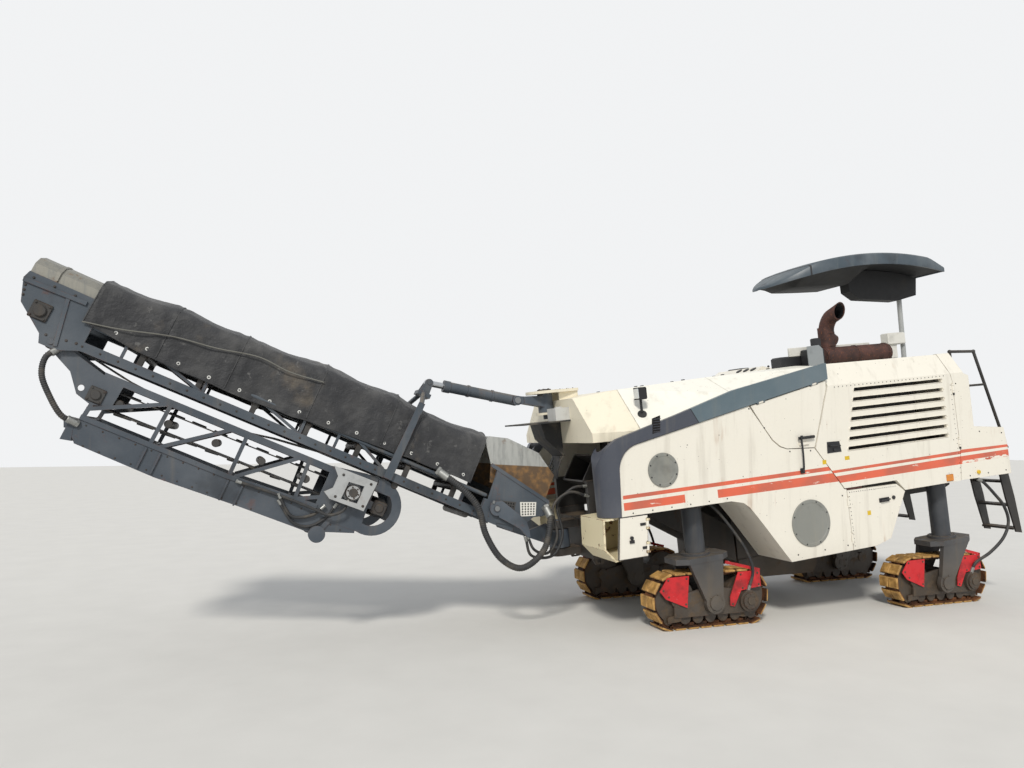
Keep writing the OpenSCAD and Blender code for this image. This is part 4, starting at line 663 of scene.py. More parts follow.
def ripple(a, b, seed):
    """Smooth noise of two numbers: a sum of sines in directions drawn from the seed."""
    rng = np.random.default_rng(seed)
    total = 0.0
    for k in range(7):
        kx, ky, phase = rng.uniform(-1, 1) * (k + 1), rng.uniform(-1, 1) * (k + 1), rng.uniform(0, 6.28)
        total = total + np.sin(kx * a + ky * b + phase) / (k + 1)
    return total / 1.6


def canvas_surface(rows=240, across=110):
    """The cover's surface. Its section runs from one lower edge over the top to the other, and it changes along
    s. It sags between the hoops, folds hang down the sides, and creases run slantwise from each hoop."""
    s = np.linspace(HOOPS[0], HOOPS[-1], rows)
    lo, sh, top, hw = (np.interp(s, CANVAS[:, 0], CANVAS[:, k]) for k in range(1, 5))
    t = np.linspace(0, 1, across)
    out = []
    for k in range(rows):
        left = [(-hw[k], lo[k]), (-hw[k] + .004, lo[k] + (sh[k] - lo[k]) * .55), (-hw[k] + .018, sh[k] - .03),
                (-hw[k] + .07, sh[k] + (top[k] - sh[k]) * .35), (-hw[k] + .19, sh[k] + (top[k] - sh[k]) * .8),
                (-hw[k] * .3, top[k])]
        ring = np.array(left + [(-a, b) for a, b in left[::-1]])
        length = np.concatenate([[0], np.cumsum(np.linalg.norm(np.diff(ring, axis=0), axis=1))])
        at = t * length[-1]
        out.append(np.stack([np.interp(at, length, ring[:, 0]), np.interp(at, length, ring[:, 1])], 1))
    ring = np.array(out)
    for _ in range(3):
        ring[:, 1:-1] = (ring[:, :-2] + 2 * ring[:, 1:-1] + ring[:, 2:]) / 4
    tangent = np.gradient(ring, axis=1)
    normal = np.stack([-tangent[..., 1], tangent[..., 0]], -1)
    normal /= np.linalg.norm(normal, axis=-1, keepdims=True)
    span = np.searchsorted(HOOPS, s, side="right").clip(1, len(HOOPS) - 1)
    gap = HOOPS[span] - HOOPS[span - 1]
    phase = (s - HOOPS[span - 1]) / gap
    S, T = s[:, None], t[None, :]
    hang = np.clip(np.abs(T - 0.5) * 2, 0, 1)
    sag = -0.030 * gap[:, None] * np.sin(math.pi * phase[:, None]) ** 2 * (1 - hang ** 3 * 0.4)
    folds = 0.011 * hang ** 3 * ripple(S * 9, T * 1.5, 5)
    near = np.exp(-((np.abs(phase - 0.5) - 0.5)[:, None] / 0.16) ** 2)
    slant = 0.0045 * np.sin(46 * S + 22 * T * np.sign(T - 0.5) + 3 * ripple(S * 2, T * 6, 9)) * near
    crease = 0.006 * (np.abs(ripple(S * 5, T * 16, 3)) ** 0.7 - 0.5) + 0.003 * ripple(S * 17, T * 30, 7)
    shift = sag + folds + slant + crease
    ring = ring + normal * shift[..., None]
    ring[..., 0] = np.clip(ring[..., 0], -CANVAS_REACH, CANVAS_REACH)
    ring[:, [0, -1], 1] += 0.008 * ripple(S * 7, np.array([[0.0, 3.0]]), 11)
    world = np.empty(ring.shape[:2] + (3,))
    for k in range(rows):
        for j in range(across):
            world[k, j] = conveyor(s[k], -ring[k, j, 0], ring[k, j, 1])
    return s, world


def canvas_finish():
    """Charcoal cloth with a fine weave, grey dust along the top and old folds rubbed pale."""
    f = Finish("canvas_cloth")
    up = f.facing_up().size()
    dust = f.noise(4.0, 6.0, 0.6).over(0.42, 0.7) * (0.25 + up * 0.55)
    c = f.mix("#242528", "#6b6a68", dust * 0.75)
    c = f.mix(c, "#8b7c66", f.noise(2.2, 5.0).over(0.58, 0.75) * 0.35)
    rubbed = f.noise(11.0, 5.0, 0.7, f.stretched(1.0, 0.4, 1.0)).over(0.62, 0.70)
    c = f.mix(c, "#83827f", rubbed * 0.35)
    weave = f.noise(420.0, 1.0)
    wrinkle = (f.noise(6.5, 4.0, 0.6, f.stretched(1.0, 0.6, 1.0)) - 0.5).size() * 3.0
    bump = (1 - wrinkle.least(1.0)) * 0.9 + weave * 0.08
    return f.end(c, 0.62 + dust * 0.3, bump=bump, depth=0.010, sheen=0.15)


CLOTH = canvas_finish()
canvas_s, canvas_points = canvas_surface()
cover = Kit()
cover.grid(canvas_points)
canvas = piece("canvas_cover", cover.points, cover.faces, "conveyor", CLOTH)
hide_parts("conveyor_canvas")

hem = Kit()
for j in (0, -1):
    hem.grid(sweep(canvas_points[::3, j], 0.006, 6), closed_across=True, caps=True)
for k in (0, -1):
    hem.grid(sweep(canvas_points[k, ::4], 0.006, 6), closed_across=True, caps=True)
for s0 in HOOPS[1:-1]:
    k = int(np.argmin(np.abs(canvas_s - s0)))
    hem.grid(sweep(canvas_points[k, ::4] + (0, 0, 0.001), 0.007, 6), closed_across=True, caps=True)
hems = hem.make("canvas_hems", "conveyor", "canvas", CLOTH)
rings = Kit()
for j, side in ((3, -1), (-4, 1)):
    for k in range(6, len(canvas_s), 18):
        p = Vector(canvas_points[k, j]) + Vector((0, side * 0.003, 0))
        rings.disc(p - Vector((0, side * 0.004, 0)), (0, side, 0), 0.017, 0.006, sides=14, bore=0.008)
eyelets = rings.make("canvas_eyelets", "conveyor", "canvas", plain("eyelet_white", "#cfcfca", 0.4, 0.2))

# ---------------------------------------------------------------- tracks
SHOES_EACH, SHOE_T, WHEEL_R, WHEEL_X = 22, 0.025, 0.240, 0.405
WHEEL_Z, LOW_R, LOW_X, LOW_Z = 0.285, 0.075, 0.480, 0.100


def belt_line(count):
    """Places (x, z, outward angle) at equal steps round the belt, and the step. The belt has a top run, end
    wheels, slopes, low wheels and a ground run."""
    d = math.hypot(LOW_X - WHEEL_X, WHEEL_Z - LOW_Z)
    turn = math.atan2(LOW_Z - WHEEL_Z, LOW_X - WHEEL_X) + math.acos((WHEEL_R - LOW_R) / d)
    slope = math.sqrt(d * d - (WHEEL_R - LOW_R) ** 2)
    ends = np.cumsum([WHEEL_X, (math.pi / 2 - turn) * WHEEL_R, slope, (turn + math.pi / 2) * LOW_R, LOW_X])
    half = ends[-1]

    def at(s):
        if s > half:
            x, z, a = at(2 * half - s)
            return -x, z, math.pi - a
        if s < ends[0]:
            return s, WHEEL_Z + WHEEL_R, math.pi / 2
        if s < ends[1]:
            a = math.pi / 2 - (s - ends[0]) / WHEEL_R
            return WHEEL_X + WHEEL_R * math.cos(a), WHEEL_Z + WHEEL_R * math.sin(a), a
        if s < ends[2]:
            r = s - ends[1]
            return (WHEEL_X + WHEEL_R * math.cos(turn) + r * math.sin(turn),
                    WHEEL_Z + WHEEL_R * math.sin(turn) - r * math.cos(turn), turn)
        if s < ends[3]:
            a = turn - (s - ends[2]) / LOW_R
            return LOW_X + LOW_R * math.cos(a), LOW_Z + LOW_R * math.sin(a), a
        return LOW_X - (s - ends[3]), SHOE_T, -math.pi / 2
    pitch = 2 * half / count
    return [at((i + 0.5) * pitch) for i in range(count)], pitch


def track(node, pin_x, side):
    """One belt: rubber pads on steel shoes, and below each a pair of chain links with its pin."""
    places, pitch = belt_line(SHOES_EACH)
    pads, chain = Kit(), Kit()
    yc = side * LEG_Y
    for x, z, a in places:
        here = Matrix.Translation((pin_x + x, yc, z)) @ Matrix.Rotation(-a, 4, "Y")
        pads.place = chain.place = here     # local x points out of the belt, local z along it
        w = 0.45 * pitch
        chain.box((-0.002, -0.128, -w), (0.006, 0.128, w * 0.96), 0.002)
        for low, high in ((-0.126, -0.004), (0.004, 0.126)):
            pads.grid([[(d, low + e, -g), (d, high - e, -g), (d, high - e, g), (d, low + e, g)] for d, e, g in (
                (0.005, 0.0, 0.40 * pitch), (0.018, 0.001, 0.39 * pitch), (0.0246, 0.008, 0.33 * pitch))],
                closed_across=True, caps=True)
        for y in (-0.112, -0.030, 0.030, 0.112):
            for g in (-0.20, 0.20):
                chain.bolt((-0.002, y, g * pitch), (-1, 0, 0), 0.009)
        for y in (-0.058, 0.058):
            chain.box((-0.030, y - 0.009, -0.46 * pitch), (-0.002, y + 0.009, 0.30 * pitch), 0.005)
            chain.disc((-0.017, y - 0.012, 0.5 * pitch), (0, 1, 0), 0.015, 0.024, sides=12)
        chain.disc((-0.017, -0.070, 0.5 * pitch), (0, 1, 0), 0.009, 0.140, sides=10)
    body = node.replace("track", "leg")
    pad = pads.make(node + "_pads", body, "track_shoes", SHOES)
    chain.make(node + "_chain", body, "track_shoes", CHAIN)
    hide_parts(node)


CHAIN = rusty_metal("chain_rust", "#7a4f30", "#33241b", 0.3)
LEG_HEIGHT, MOTOR_X, MOTOR_Z = 0.465, 0.420, 0.237
CHASSIS_UP, CHASSIS_ALONG = (-math.sin(PITCH), 0, math.cos(PITCH)), (math.cos(PITCH), 0, math.sin(PITCH))
GUARD_BOLTS = ((-.560, .395), (-.505, .490), (-.300, .495), (-.310, .250), (-.500, .330), (.330, .500),
               (.530, .505), (.545, .390), (.350, .365), (.230, .215))
# Each end's track pin, and the foot of its column as (u, w) on the chassis
ENDS = (("front", FRONT_PIVOT[0], -0.055, LEG_HEIGHT),
        ("rear", FRONT_PIVOT[0] + WHEELBASE, WHEELBASE * math.cos(PITCH) + 0.196,
         LEG_HEIGHT - WHEELBASE * math.sin(PITCH)))
for end, pin_x, foot_u, foot_w in ENDS:
    for tag, side in (("left", -1), ("right", 1)):
        track(f"track_{end}_{tag}", pin_x, side)
        out, motor_x = (0, side, 0), pin_x + MOTOR_X
        bolts = Kit()
        for x, z in GUARD_BOLTS:
            bolts.bolt((pin_x + x, side * (LEG_Y + 0.1395), z), out, 0.011)
        bolts.bolts_round((motor_x, side * (LEG_Y + 0.177), MOTOR_Z), out, 0.066, 8, 0.008)
        bolts.bolts_round((motor_x, side * (LEG_Y + 0.157), MOTOR_Z), out, 0.093, 8, 0.007, 0.39)
        bolts.disc((motor_x, side * (LEG_Y + 0.177), MOTOR_Z), out, 0.038, 0.010, sides=24)
        for x in (-WHEEL_X, WHEEL_X):
            bolts.bolts_round((pin_x + x, side * (LEG_Y + 0.125), WHEEL_Z), out, 0.045, 6, 0.007)
        bolts.make(f"guard_bolts_{end}_{tag}", f"leg_{end}_{tag}", "dark_steel", DARK)
        yoke = Kit()
        for k in (-1, 1):
            yoke.bolts_round((pin_x, side * LEG_Y + k * 0.190, FRONT_PIVOT[1]), (0, k, 0), 0.082, 6, 0.011, 0.3)
        foot = Vector(chassis(foot_u, side * LEG_Y, foot_w)) + Vector(CHASSIS_UP) * 0.024
        yoke.bolts_round(foot, CHASSIS_UP, 0.128, 10, 0.011, across=(CHASSIS_ALONG, (0, 1, 0)))
        yoke.make(f"leg_bolts_{end}_{tag}", f"leg_{end}_{tag}", "dark_steel", LEG)

# ---------------------------------------------------------------- chassis details
BLACK = plain("black_steel", "#202124", 0.42)
MAROON = plain("dark_red_strip", "#4a2420", 0.45)
AMBER = plain("amber_reflector", "#e08a1e", 0.18, coat=0.6)
YELLOW = plain("yellow_cap", "#d9b21f", 0.35)
LABEL = plain("bare_label", "#d8b52c", 0.5)
WHITE = plain("box_white", "#dcdad2", 0.45)
SHIELD = plain("shield_grey", "#8d9294", 0.5)
# Near-black painted shade for the canopy's shaded underside and for the bracket beneath it.
CANOPY_SHADE = plain("canopy_painted_shade", "#151618", 0.6)
GLASS = plain("lamp_glass", "#cfd4d6", 0.08, coat=1.0)
RED = plain("red_lamp", "#b3161a", 0.2, coat=0.8)
# Near-black painted shade for openings: the vent backs and the plate holes.
HOLE_SHADE = plain("painted_hole_shade", "#0c0c0d", 0.8)


def side_kit(side=-1):
    """A kit whose x is u, whose y points out of that side's skin and whose z is w."""
    flip = Matrix.Scale(side, 4, (0, 1, 0))
    return Kit(CHASSIS_MATRIX @ flip @ Matrix.Translation((0, BODY_Y, 0)))


for side, tag in ((-1, "left"), (1, "right")):
    rims, bolts = side_kit(side), side_kit(side)
    for u, w, r in ((-0.493, 1.377, 0.165), (1.162, 0.635, 0.240)):
        ring = [[(u + (r - 0.006 + q) * math.cos(a), 0.008 + h, w + (r - 0.006 + q) * math.sin(a))
                 for a in np.linspace(0, 2 * math.pi, 64, endpoint=False)]
                for q, h in ((-0.030, 0.0), (-0.026, 0.003), (0.0, 0.003), (0.006, -0.003))]
        rims.grid(ring, closed_across=True)
        bolts.bolts_round((u, 0.011, w), (0, 1, 0), r - 0.018, 8, 0.008, math.pi / 8)
    rims.make(f"cover_rims_{tag}", "chassis", "grey_paint", COVER)
    bolts.make(f"cover_bolts_{tag}", "chassis", "dark_steel", BLACK)

    # Vent in the moulded band, with its blades; the plate behind the blades is near-black painted shade for the
    # vent's dark inside
    vent, blades = side_kit(side), side_kit(side)
    vent.plate([(-0.575, 1.730), (-0.490, 1.752), (-0.470, 1.900), (-0.555, 1.878)], 0.0168)
    for k in range(6):
        w = 1.745 + k * 0.024
        blades.box((-0.565 + k * 0.003, 0.012, w), (-0.485 + k * 0.003, 0.022, w + 0.006), 0.002)
    vent.make(f"band_vent_{tag}", "chassis", "dark_steel", HOLE_SHADE)
    blades.make(f"band_vent_blades_{tag}", "chassis", "grey_paint", BAND)

    # Bolts along the front panel's lower edge, and on the panels behind it
    edge = side_kit(side)
    for u in np.arange(-0.86, 0.20, 0.21):
        edge.bolt((u, 0.0, 1.012), (0, 1, 0), 0.007)
    for u, w in ((0.56, 1.87), (0.72, 1.66), (1.00, 1.39), (1.26, 1.37), (0.96, 0.34), (1.30, 0.34),
                 (1.60, 0.34), (1.60, 0.86), (3.42, 0.85), (3.70, 0.85), (3.98, 0.85), (3.98, 1.28),
                 (3.64, 1.33), (3.37, 1.90)):
        edge.bolt((u, 0.0, w), (0, 1, 0), 0.008)
    edge.make(f"panel_bolts_{tag}", "chassis", "dark_steel", BLACK)

# Flap: rubber catch with its strap, and a second catch on the panel
catch = side_kit()
catch.box((1.105, 0.018, 1.498), (1.310, 0.034, 1.528), 0.004)
catch.box((1.120, 0.034, 1.500), (1.150, 0.046, 1.540), 0.004)
catch.tube([(1.150, 0.040, 1.512), (1.300, 0.040, 1.514)], 0.006)
catch.grid([[(u - 0.010 * q, 0.030 + 0.008 * math.sin(3 * q) + e, 1.500 - 0.300 * q)
             for u, e in ((1.128, 0.004), (1.128, -0.004), (1.146, -0.004), (1.146, 0.004))]
            for q in np.linspace(0, 1, 12)], closed_across=True, caps=True)
catch.make("flap_catch", "middle_flap", "dark_steel", BLACK)
stop = side_kit()
stop.box((1.100, 0.0, 1.150), (1.150, 0.018, 1.205), 0.005)
stop.disc((1.125, 0.016, 1.178), (0, 1, 0), 0.014, 0.012)
stop.make("strap_anchor", "chassis", "dark_steel", BLACK)

# Engine door: handle plate, its slots' lips, reflector, rivets and the bare labels
door = side_kit()
door.plate([(1.470, 1.318), (1.655, 1.318), (1.640, 1.430), (1.480, 1.436)], 0.005)
door.tube([(1.500, 0.004, 1.395), (1.500, 0.028, 1.395), (1.625, 0.028, 1.385), (1.625, 0.004, 1.385)],
          0.009, 8)
door.disc((1.562, 0.004, 1.345), (0, 1, 0), 0.016, 0.012)
door.make("door_handle_plate", "engine_door", "dark_steel", BLACK)
SLOTS = 7
lips = side_kit()
for i in range(SLOTS):
    w, u0 = 1.320 + i * 0.1025, 1.750 + i * 0.027
    outline = [(u0 - 0.004, w), (3.160, w), (3.176, w + 0.018), (3.160, w + 0.036), (u0 + 0.008, w + 0.036),
               (u0 - 0.010, w + 0.018)]
    mu, mw = np.mean(outline, axis=0)
    lips.grid([[(mu + (a - mu) * grow, out, mw + (b - mw) * (1 + (grow - 1) * 28)) for a, b in outline]
               for grow, out in ((1.0, 0.0), (1.0, 0.006), (1.006, 0.008), (1.012, 0.0))], closed_across=True)
lips.make("louvre_lips", "engine_door", "cream_paint", CREAM)
rivets = side_kit()
for u in np.arange(1.66, 3.22, 0.055):
    rivets.disc((u, 0.0, 2.000), (0, 1, 0), 0.0055, 0.003, sides=8)
for w in np.arange(0.90, 1.90, 0.055):
    rivets.disc((3.285, 0.0, w), (0, 1, 0), 0.0045, 0.003, sides=8)
rivets.make("door_rivets", "engine_door", "dark_steel", BLACK)
reflector = side_kit()
reflector.box((3.062, 0.0, 0.828), (3.162, 0.010, 0.902), 0.006)
reflector.make("door_reflector", "engine_door", "cream_paint", AMBER)
for name, u0, w0, du, dw, body in (("label_door", 1.690, 1.222, 0.062, 0.040, "engine_door"),
                                   ("label_panel", 1.395, 1.210, 0.050, 0.044, "chassis"),
                                   ("label_toolbox", 1.905, 0.612, 0.046, 0.046, "toolbox_door")):
    label = side_kit()
    label.box((u0, 0.0, w0), (u0 + du, 0.0012, w0 + dw), 0.0005)
    label.make(name, body, "cream_paint", LABEL)
hinges = side_kit()     # knuckles on the door's own axis, so they turn in place
for w in (1.185, 1.262, 1.795, 1.872):
    hinges.disc((3.320, 0.0, w - 0.020), (0, 0, 1), 0.013, 0.040, sides=20)
hinges.make("door_hinges", "engine_door", "dark_steel", BLACK)

# Toolbox door: rivets, black handle and lock, dark strip above it
tool = side_kit()
for q in np.linspace(0, 1, 22):
    tool.disc((1.70 + 0.62 * q, 0.0, 0.882 - 0.013 * q), (0, 1, 0), 0.0045, 0.003, sides=8)
for q in np.linspace(0, 1, 14):
    tool.disc((1.690, 0.0, 0.32 + 0.52 * q), (0, 1, 0), 0.0045, 0.003, sides=8)
tool.tube([(2.092, 0.0, 0.742), (2.092, 0.026, 0.742), (2.205, 0.026, 0.748), (2.205, 0.0, 0.748)], 0.009, 8)
tool.box((2.080, 0.0, 0.722), (2.218, 0.004, 0.768), 0.002)
tool.disc((2.278, 0.0, 0.755), (0, 1, 0), 0.020, 0.014)
tool.make("toolbox_fittings", "toolbox_door", "dark_steel", BLACK)
strip = side_kit()
strip.box((1.655, -0.030, 0.908), (1.880, -0.006, 0.926), 0.003)
strip.make("toolbox_strip", "chassis", "dark_steel", MAROON)
cap = side_kit()
cap.disc((3.548, 0.0, 0.877), (0, 1, 0), 0.022, 0.018, sides=20)
cap.make("grease_cap", "chassis", "cream_paint", YELLOW)

# Nose: the door's lock and straps, and the frame round it
nose = side_kit()
nose.disc((-0.905, 0.0, 0.785), (0, 1, 0), 0.018, 0.016)
nose.box((-0.930, 0.0, 0.735), (-0.880, 0.012, 0.765), 0.003)
for h in (-0.11, 0.11):
    nose.box((-0.800, 0.0, 0.775 + h), (-0.742, 0.008, 0.800 + h), 0.002)
nose.make("nose_door_fittings", "nose_door", "dark_steel", BLACK)
frame_edge = side_kit()
corners = [(-1.004, 0.984), (-0.712, 0.979), (-0.748, 0.592), (-1.054, 0.596)]
for (a, b), (c, d) in zip(corners, corners[1:] + corners[:1]):
    frame_edge.tube([(a, -0.012, b), (c, -0.012, d)], 0.007, 6)
frame_edge.make("nose_door_frame", "chassis", "dark_steel", BLACK)

# Deck: boxes in front of the silencer, a bevelled plate, a low wall behind it
DECK_W = 2.2305
deck = Kit(CHASSIS_MATRIX)
deck.box((1.400, -0.620, 2.2250), (1.800, -0.450, 2.385), 0.016)
deck.box((1.660, -0.785, DECK_W), (1.870, -0.640, 2.440), 0.012)
deck.box((1.795, -0.740, 2.435), (1.880, -0.660, 2.560), 0.010)
deck.make("intake_box", "chassis", "dark_steel", BLACK)
panel = Kit(CHASSIS_MATRIX)
panel.box((1.530, -0.620, 2.380), (1.795, -0.596, 2.478), 0.004)
panel.box((2.300, -0.470, DECK_W), (2.830, -0.440, 2.482), 0.005)
panel.make("deck_panel", "chassis", "cream_paint", WHITE)
shield = Kit(CHASSIS_MATRIX)
shield.plate([(1.630, DECK_W), (1.835, DECK_W), (1.835, 2.430), (1.790, 2.476), (1.630, 2.470)], 0.012,
             Matrix.Translation((0, -0.800, 0)))
shield.make("deck_shield", "chassis", "light_grey_paint", SHIELD)

# Exhaust: silencer on two feet, pipe that bends out to the left, its end cut on the slant
EXHAUST_Y, SILENCER_W, PIPE_U, ROUND = -0.600, 2.3403, 2.090, 48
pipe = Kit(CHASSIS_MATRIX)
pipe.disc((1.990, EXHAUST_Y, SILENCER_W), (1, 0, 0), 0.110, 0.930, sides=72, bevel=0.022)
for u in (2.02, 2.45, 2.89):
    pipe.disc((u - 0.015, EXHAUST_Y, SILENCER_W), (1, 0, 0), 0.116, 0.030, sides=72, bevel=0.004)
for u in (2.120, 2.770):
    pipe.box((u - 0.020, EXHAUST_Y - 0.090, 2.2303), (u + 0.020, EXHAUST_Y + 0.090, 2.300), 0.003)
    for y in (EXHAUST_Y - 0.078, EXHAUST_Y + 0.078):
        pipe.bolt((u, y, 2.298), (0, 0, 1), 0.010)
for w in (2.455, 2.600):
    pipe.disc((PIPE_U, EXHAUST_Y, w), (0, 0, 1), 0.089, 0.026, sides=ROUND, bevel=0.004)
bend = smooth_path([(PIPE_U + u, EXHAUST_Y - y, w) for u, y, w in (
    (0.000, 0.000, 2.360), (0.000, 0.000, 2.480), (0.000, 0.000, 2.600), (0.004, 0.018, 2.700),
    (0.010, 0.075, 2.778), (0.010, 0.160, 2.812))], 0.022)
along = bend[-1] - bend[-2]
along /= np.linalg.norm(along)
cut_at, cut_way = np.array((2.100, EXHAUST_Y - 0.230, 2.832)), np.array((0.05, -0.97, -0.25))


def to_cut(ring, back=0.0):
    """Points of a ring moved along the pipe to its slanted end, or to the same slant further back."""
    return ring + np.outer((cut_at - ring) @ cut_way / (along @ cut_way) - back, along)


outer, inner = sweep(bend, 0.083, ROUND), sweep(bend, 0.074, ROUND)
pipe.grid(np.concatenate([outer, [to_cut(outer[-1]), to_cut(inner[-1]), to_cut(inner[-1], 0.020)]]),
          closed_across=True)
pipe.make("exhaust_pipe", "chassis", "worn_steel", EXHAUST)
# Inside the pipe's end: the bore is near-black soot, and the cap closing it a little way in is painted shade for
# the pipe's dark depth.
mouth = Kit(CHASSIS_MATRIX)
mouth.grid([to_cut(inner[-1], 0.018), inner[-1], inner[-6]], closed_across=True)
mouth.add(inner[-6], [list(range(ROUND))])
mouth.make("exhaust_soot_and_shade", "chassis", "worn_steel", BLACK)

# Canopy: a shell with a rounded nose, a near-black sheet below it that is painted shade for the shell's shaded
# underside, its bracket in the same painted shade, its pole, and the box on the pole
CANOPY_U, CANOPY_L = 1.320, 2.860
NOSE_U, NOSE_L, CANOPY_END, HALF, MIDDLE = 1.800, 1.000, 4.180, 0.550, 0.100
POLE_Y, FLOOR_W = 0.020, 1.3306


def canopy_edge(u):
    """Height of the canopy's lower edge at a place along it."""
    k = (u - CANOPY_U) / CANOPY_L
    return (3127 + 167 * k + 4 * 165 * k * (1 - k) + 60 * k * k * (1 - k) * 4) / 1000


def canopy_rise(u):
    """Height of its rim, which thins out towards both ends."""
    k = (u - CANOPY_U) / CANOPY_L
    return (0.15 + 0.85 * min(1, 6 * (u - NOSE_U) / CANOPY_L) * min(1, 8.4 - 8 * k)) * 0.140


def canopy_half(u):
    """Half its width: a superellipse at the nose, then straight."""
    return HALF * (1 - max(0.0, 1 - (u - NOSE_U) / NOSE_L) ** 2.2) ** (1 / 2.2)


def canopy_section(u, grow=0.0, thick=0.020):
    """The shell's section as a closed line: over the top from one lower edge to the other, and back inside.
    Grow moves it outward."""
    e, rise, h = canopy_edge(u) - grow, canopy_rise(u) + 2 * grow, canopy_half(u) + grow
    b, t = min(0.020, 0.4 * rise, 0.3 * h), min(thick, 0.4 * h)
    top = [(-h, e), (-h, e + rise - b), (-h + b, e + rise), (-h * 0.5, e + rise + 0.010), (0, e + rise + 0.013),
           (h * 0.5, e + rise + 0.010), (h - b, e + rise), (h, e + rise - b), (h, e)]
    under = e + max(rise - 0.03, rise * 0.4)
    inside = [(h - t, e), (h - t, under), (t - h, under), (t - h, e)]
    return [(u, MIDDLE + y, w) for y, w in top + inside]


at = [NOSE_U + NOSE_L * (1 - math.cos(a)) for a in np.linspace(0.10, math.pi / 2, 22)]
at += list(np.linspace(at[-1], CANOPY_END, 24))[1:]
shell = Kit(CHASSIS_MATRIX)
shell.grid([canopy_section(u) for u in at], closed_across=True, caps=True)
end_w, end_rise = canopy_edge(CANOPY_END), canopy_rise(CANOPY_END)
shell.box((CANOPY_END - 0.022, MIDDLE - HALF + 0.015, end_w + 0.001),
          (CANOPY_END - 0.002, MIDDLE + HALF - 0.015, end_w + end_rise - 0.004), 0.002)
shell = shell.make("canopy_shell", "chassis", "canopy_grey", HULL, auto=50)
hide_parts("canopy")
# The sheet under the shell, sagging in its middle, is coloured near-black as painted shade.
liner, rows = Kit(CHASSIS_MATRIX), []
for u in at[3:]:
    e, h = canopy_edge(u) + 0.006, canopy_half(u) - 0.022
    low = e - np.interp(u, [2.02, 2.14, 2.95, 3.12], [0, e - 3.240, e - 3.240, 0])
    rows.append([(u, MIDDLE + y, w) for y, w in ((-h, e + 0.010), (h, e + 0.010), (h, e), (h - 0.03, e),
                                                 (0.55 * h, low), (-0.45 * h, low), (0.03 - h, e), (-h, e))])
liner.grid(rows, closed_across=True, caps=True)
liner.make("canopy_shade_sheet", "chassis", "lamp_black", CANOPY_SHADE, auto=50)
seam = Kit(CHASSIS_MATRIX)
seam.grid([canopy_section(u, 0.003) for u in (2.190, 2.206)], closed_across=True, caps=True)
seam.make("canopy_seams", "chassis", "canopy_grey", BLACK)
# The bracket under the canopy is drawn in the same near-black painted shade.
arm = Kit(CHASSIS_MATRIX)
arm.plate([(3.020, 3.159), (3.165, 3.062), (3.781, 3.012), (4.095, 3.069), (4.130, 3.290), (3.800, 3.375),
           (3.400, 3.415), (3.010, 3.418)], 0.150, Matrix.Translation((0, -0.060, 0)))
arm.make("canopy_bracket", "chassis", "dark_steel", CANOPY_SHADE)
pole = Kit(CHASSIS_MATRIX)
pole.tube([(3.815, POLE_Y, FLOOR_W), (3.840, POLE_Y, 1.900), (3.888, POLE_Y, 3.060)], 0.030, 28)
pole.box((3.735, -0.060, FLOOR_W), (3.895, 0.100, 1.3426), 0.002)
pole.disc((3.815, POLE_Y, 1.342), (0.04, 0, 1), 0.044, 0.050, sides=32, bevel=0.008)
for u in (3.752, 3.878):
    for y in (-0.043, 0.083):
        pole.bolt((u, y, 1.342), (0, 0, 1), 0.010)
pole = pole.make("canopy_post", "chassis", "galvanised", PALE)
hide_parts("canopy_pole")
box = Kit(CHASSIS_MATRIX)
box.box((3.560, -0.050, 2.456), (3.845, 0.080, 2.606), 0.012)
box.box((3.600, -0.020, 2.285), (3.720, 0.035, 2.460), 0.006)
box.make("pole_box", "chassis", "galvanised", WHITE)

# Hood: caps on its top
caps = Kit(CHASSIS_MATRIX)
for u, w in ((-0.30, 2.207), (0.20, 2.231), (0.70, 2.2480), (1.30, 2.268)):
    for side in (-1, 1):
        caps.disc((u, side * 0.52, w), (-0.03, 0, 1), 0.020, 0.010, sides=16)
caps.make("hood_caps", "chassis", "dark_steel", BLACK)

# Operator's place: levers, gauges and a stop button on the console
con = Kit(CHASSIS_MATRIX)
for y in (0.15, 0.27, 0.39, 0.66, 0.78):
    con.tube([(1.830, y, 2.285), (1.838, y, 2.318)], 0.007, 8)
    con.disc((1.837, y, 2.310), (0.17, 0, 1), 0.014, 0.026, sides=16, bevel=0.008)
for y in (0.20, 0.34, 0.48):
    con.disc((1.655, y, 2.300), (-0.45, 0, 1), 0.040, 0.012, sides=24)
con.box((1.720, 0.560, 2.300), (1.880, 0.820, 2.345), 0.012)
con.make("console_controls", "chassis", "dark_steel", PLASTIC)
stop_button = Kit(CHASSIS_MATRIX)
stop_button.disc((1.900, 0.880, 2.262), (0.26, 0, 1), 0.024, 0.030, sides=20, bevel=0.008)
stop_button.make("stop_button", "chassis", "cream_paint", RED)

# Work lamp: lens and cooling fins
lens = Kit(CHASSIS_MATRIX)
lens.box((-0.606, -0.978, 2.080), (-0.598, -0.882, 2.180), 0.006)
lens.make("work_lamp_lens", "chassis", "lamp_black", GLASS)
fins = Kit(CHASSIS_MATRIX)
for k in range(5):
    fins.box((-0.522, -0.982 + 0.022 * k, 2.078), (-0.512, -0.974 + 0.022 * k, 2.182), 0.001)
fins.make("work_lamp_fins", "chassis", "lamp_black", PLASTIC)

# ---------------------------------------------------------------- conveyor details
STEEL = plain("bare_steel", "#8d8f90", 0.35, 0.9)
ROLLER_AT = np.arange(0.45, 3.95, 0.50)


def side_row(kit, side, y, first, last, count, size=0.010):
    """Bolts in a row on a side face at y, from one place (s, n) to another."""
    kit.bolt_row((first[0], side * y, first[1]), (last[0], side * y, last[1]), (0, side, 0), count, size)


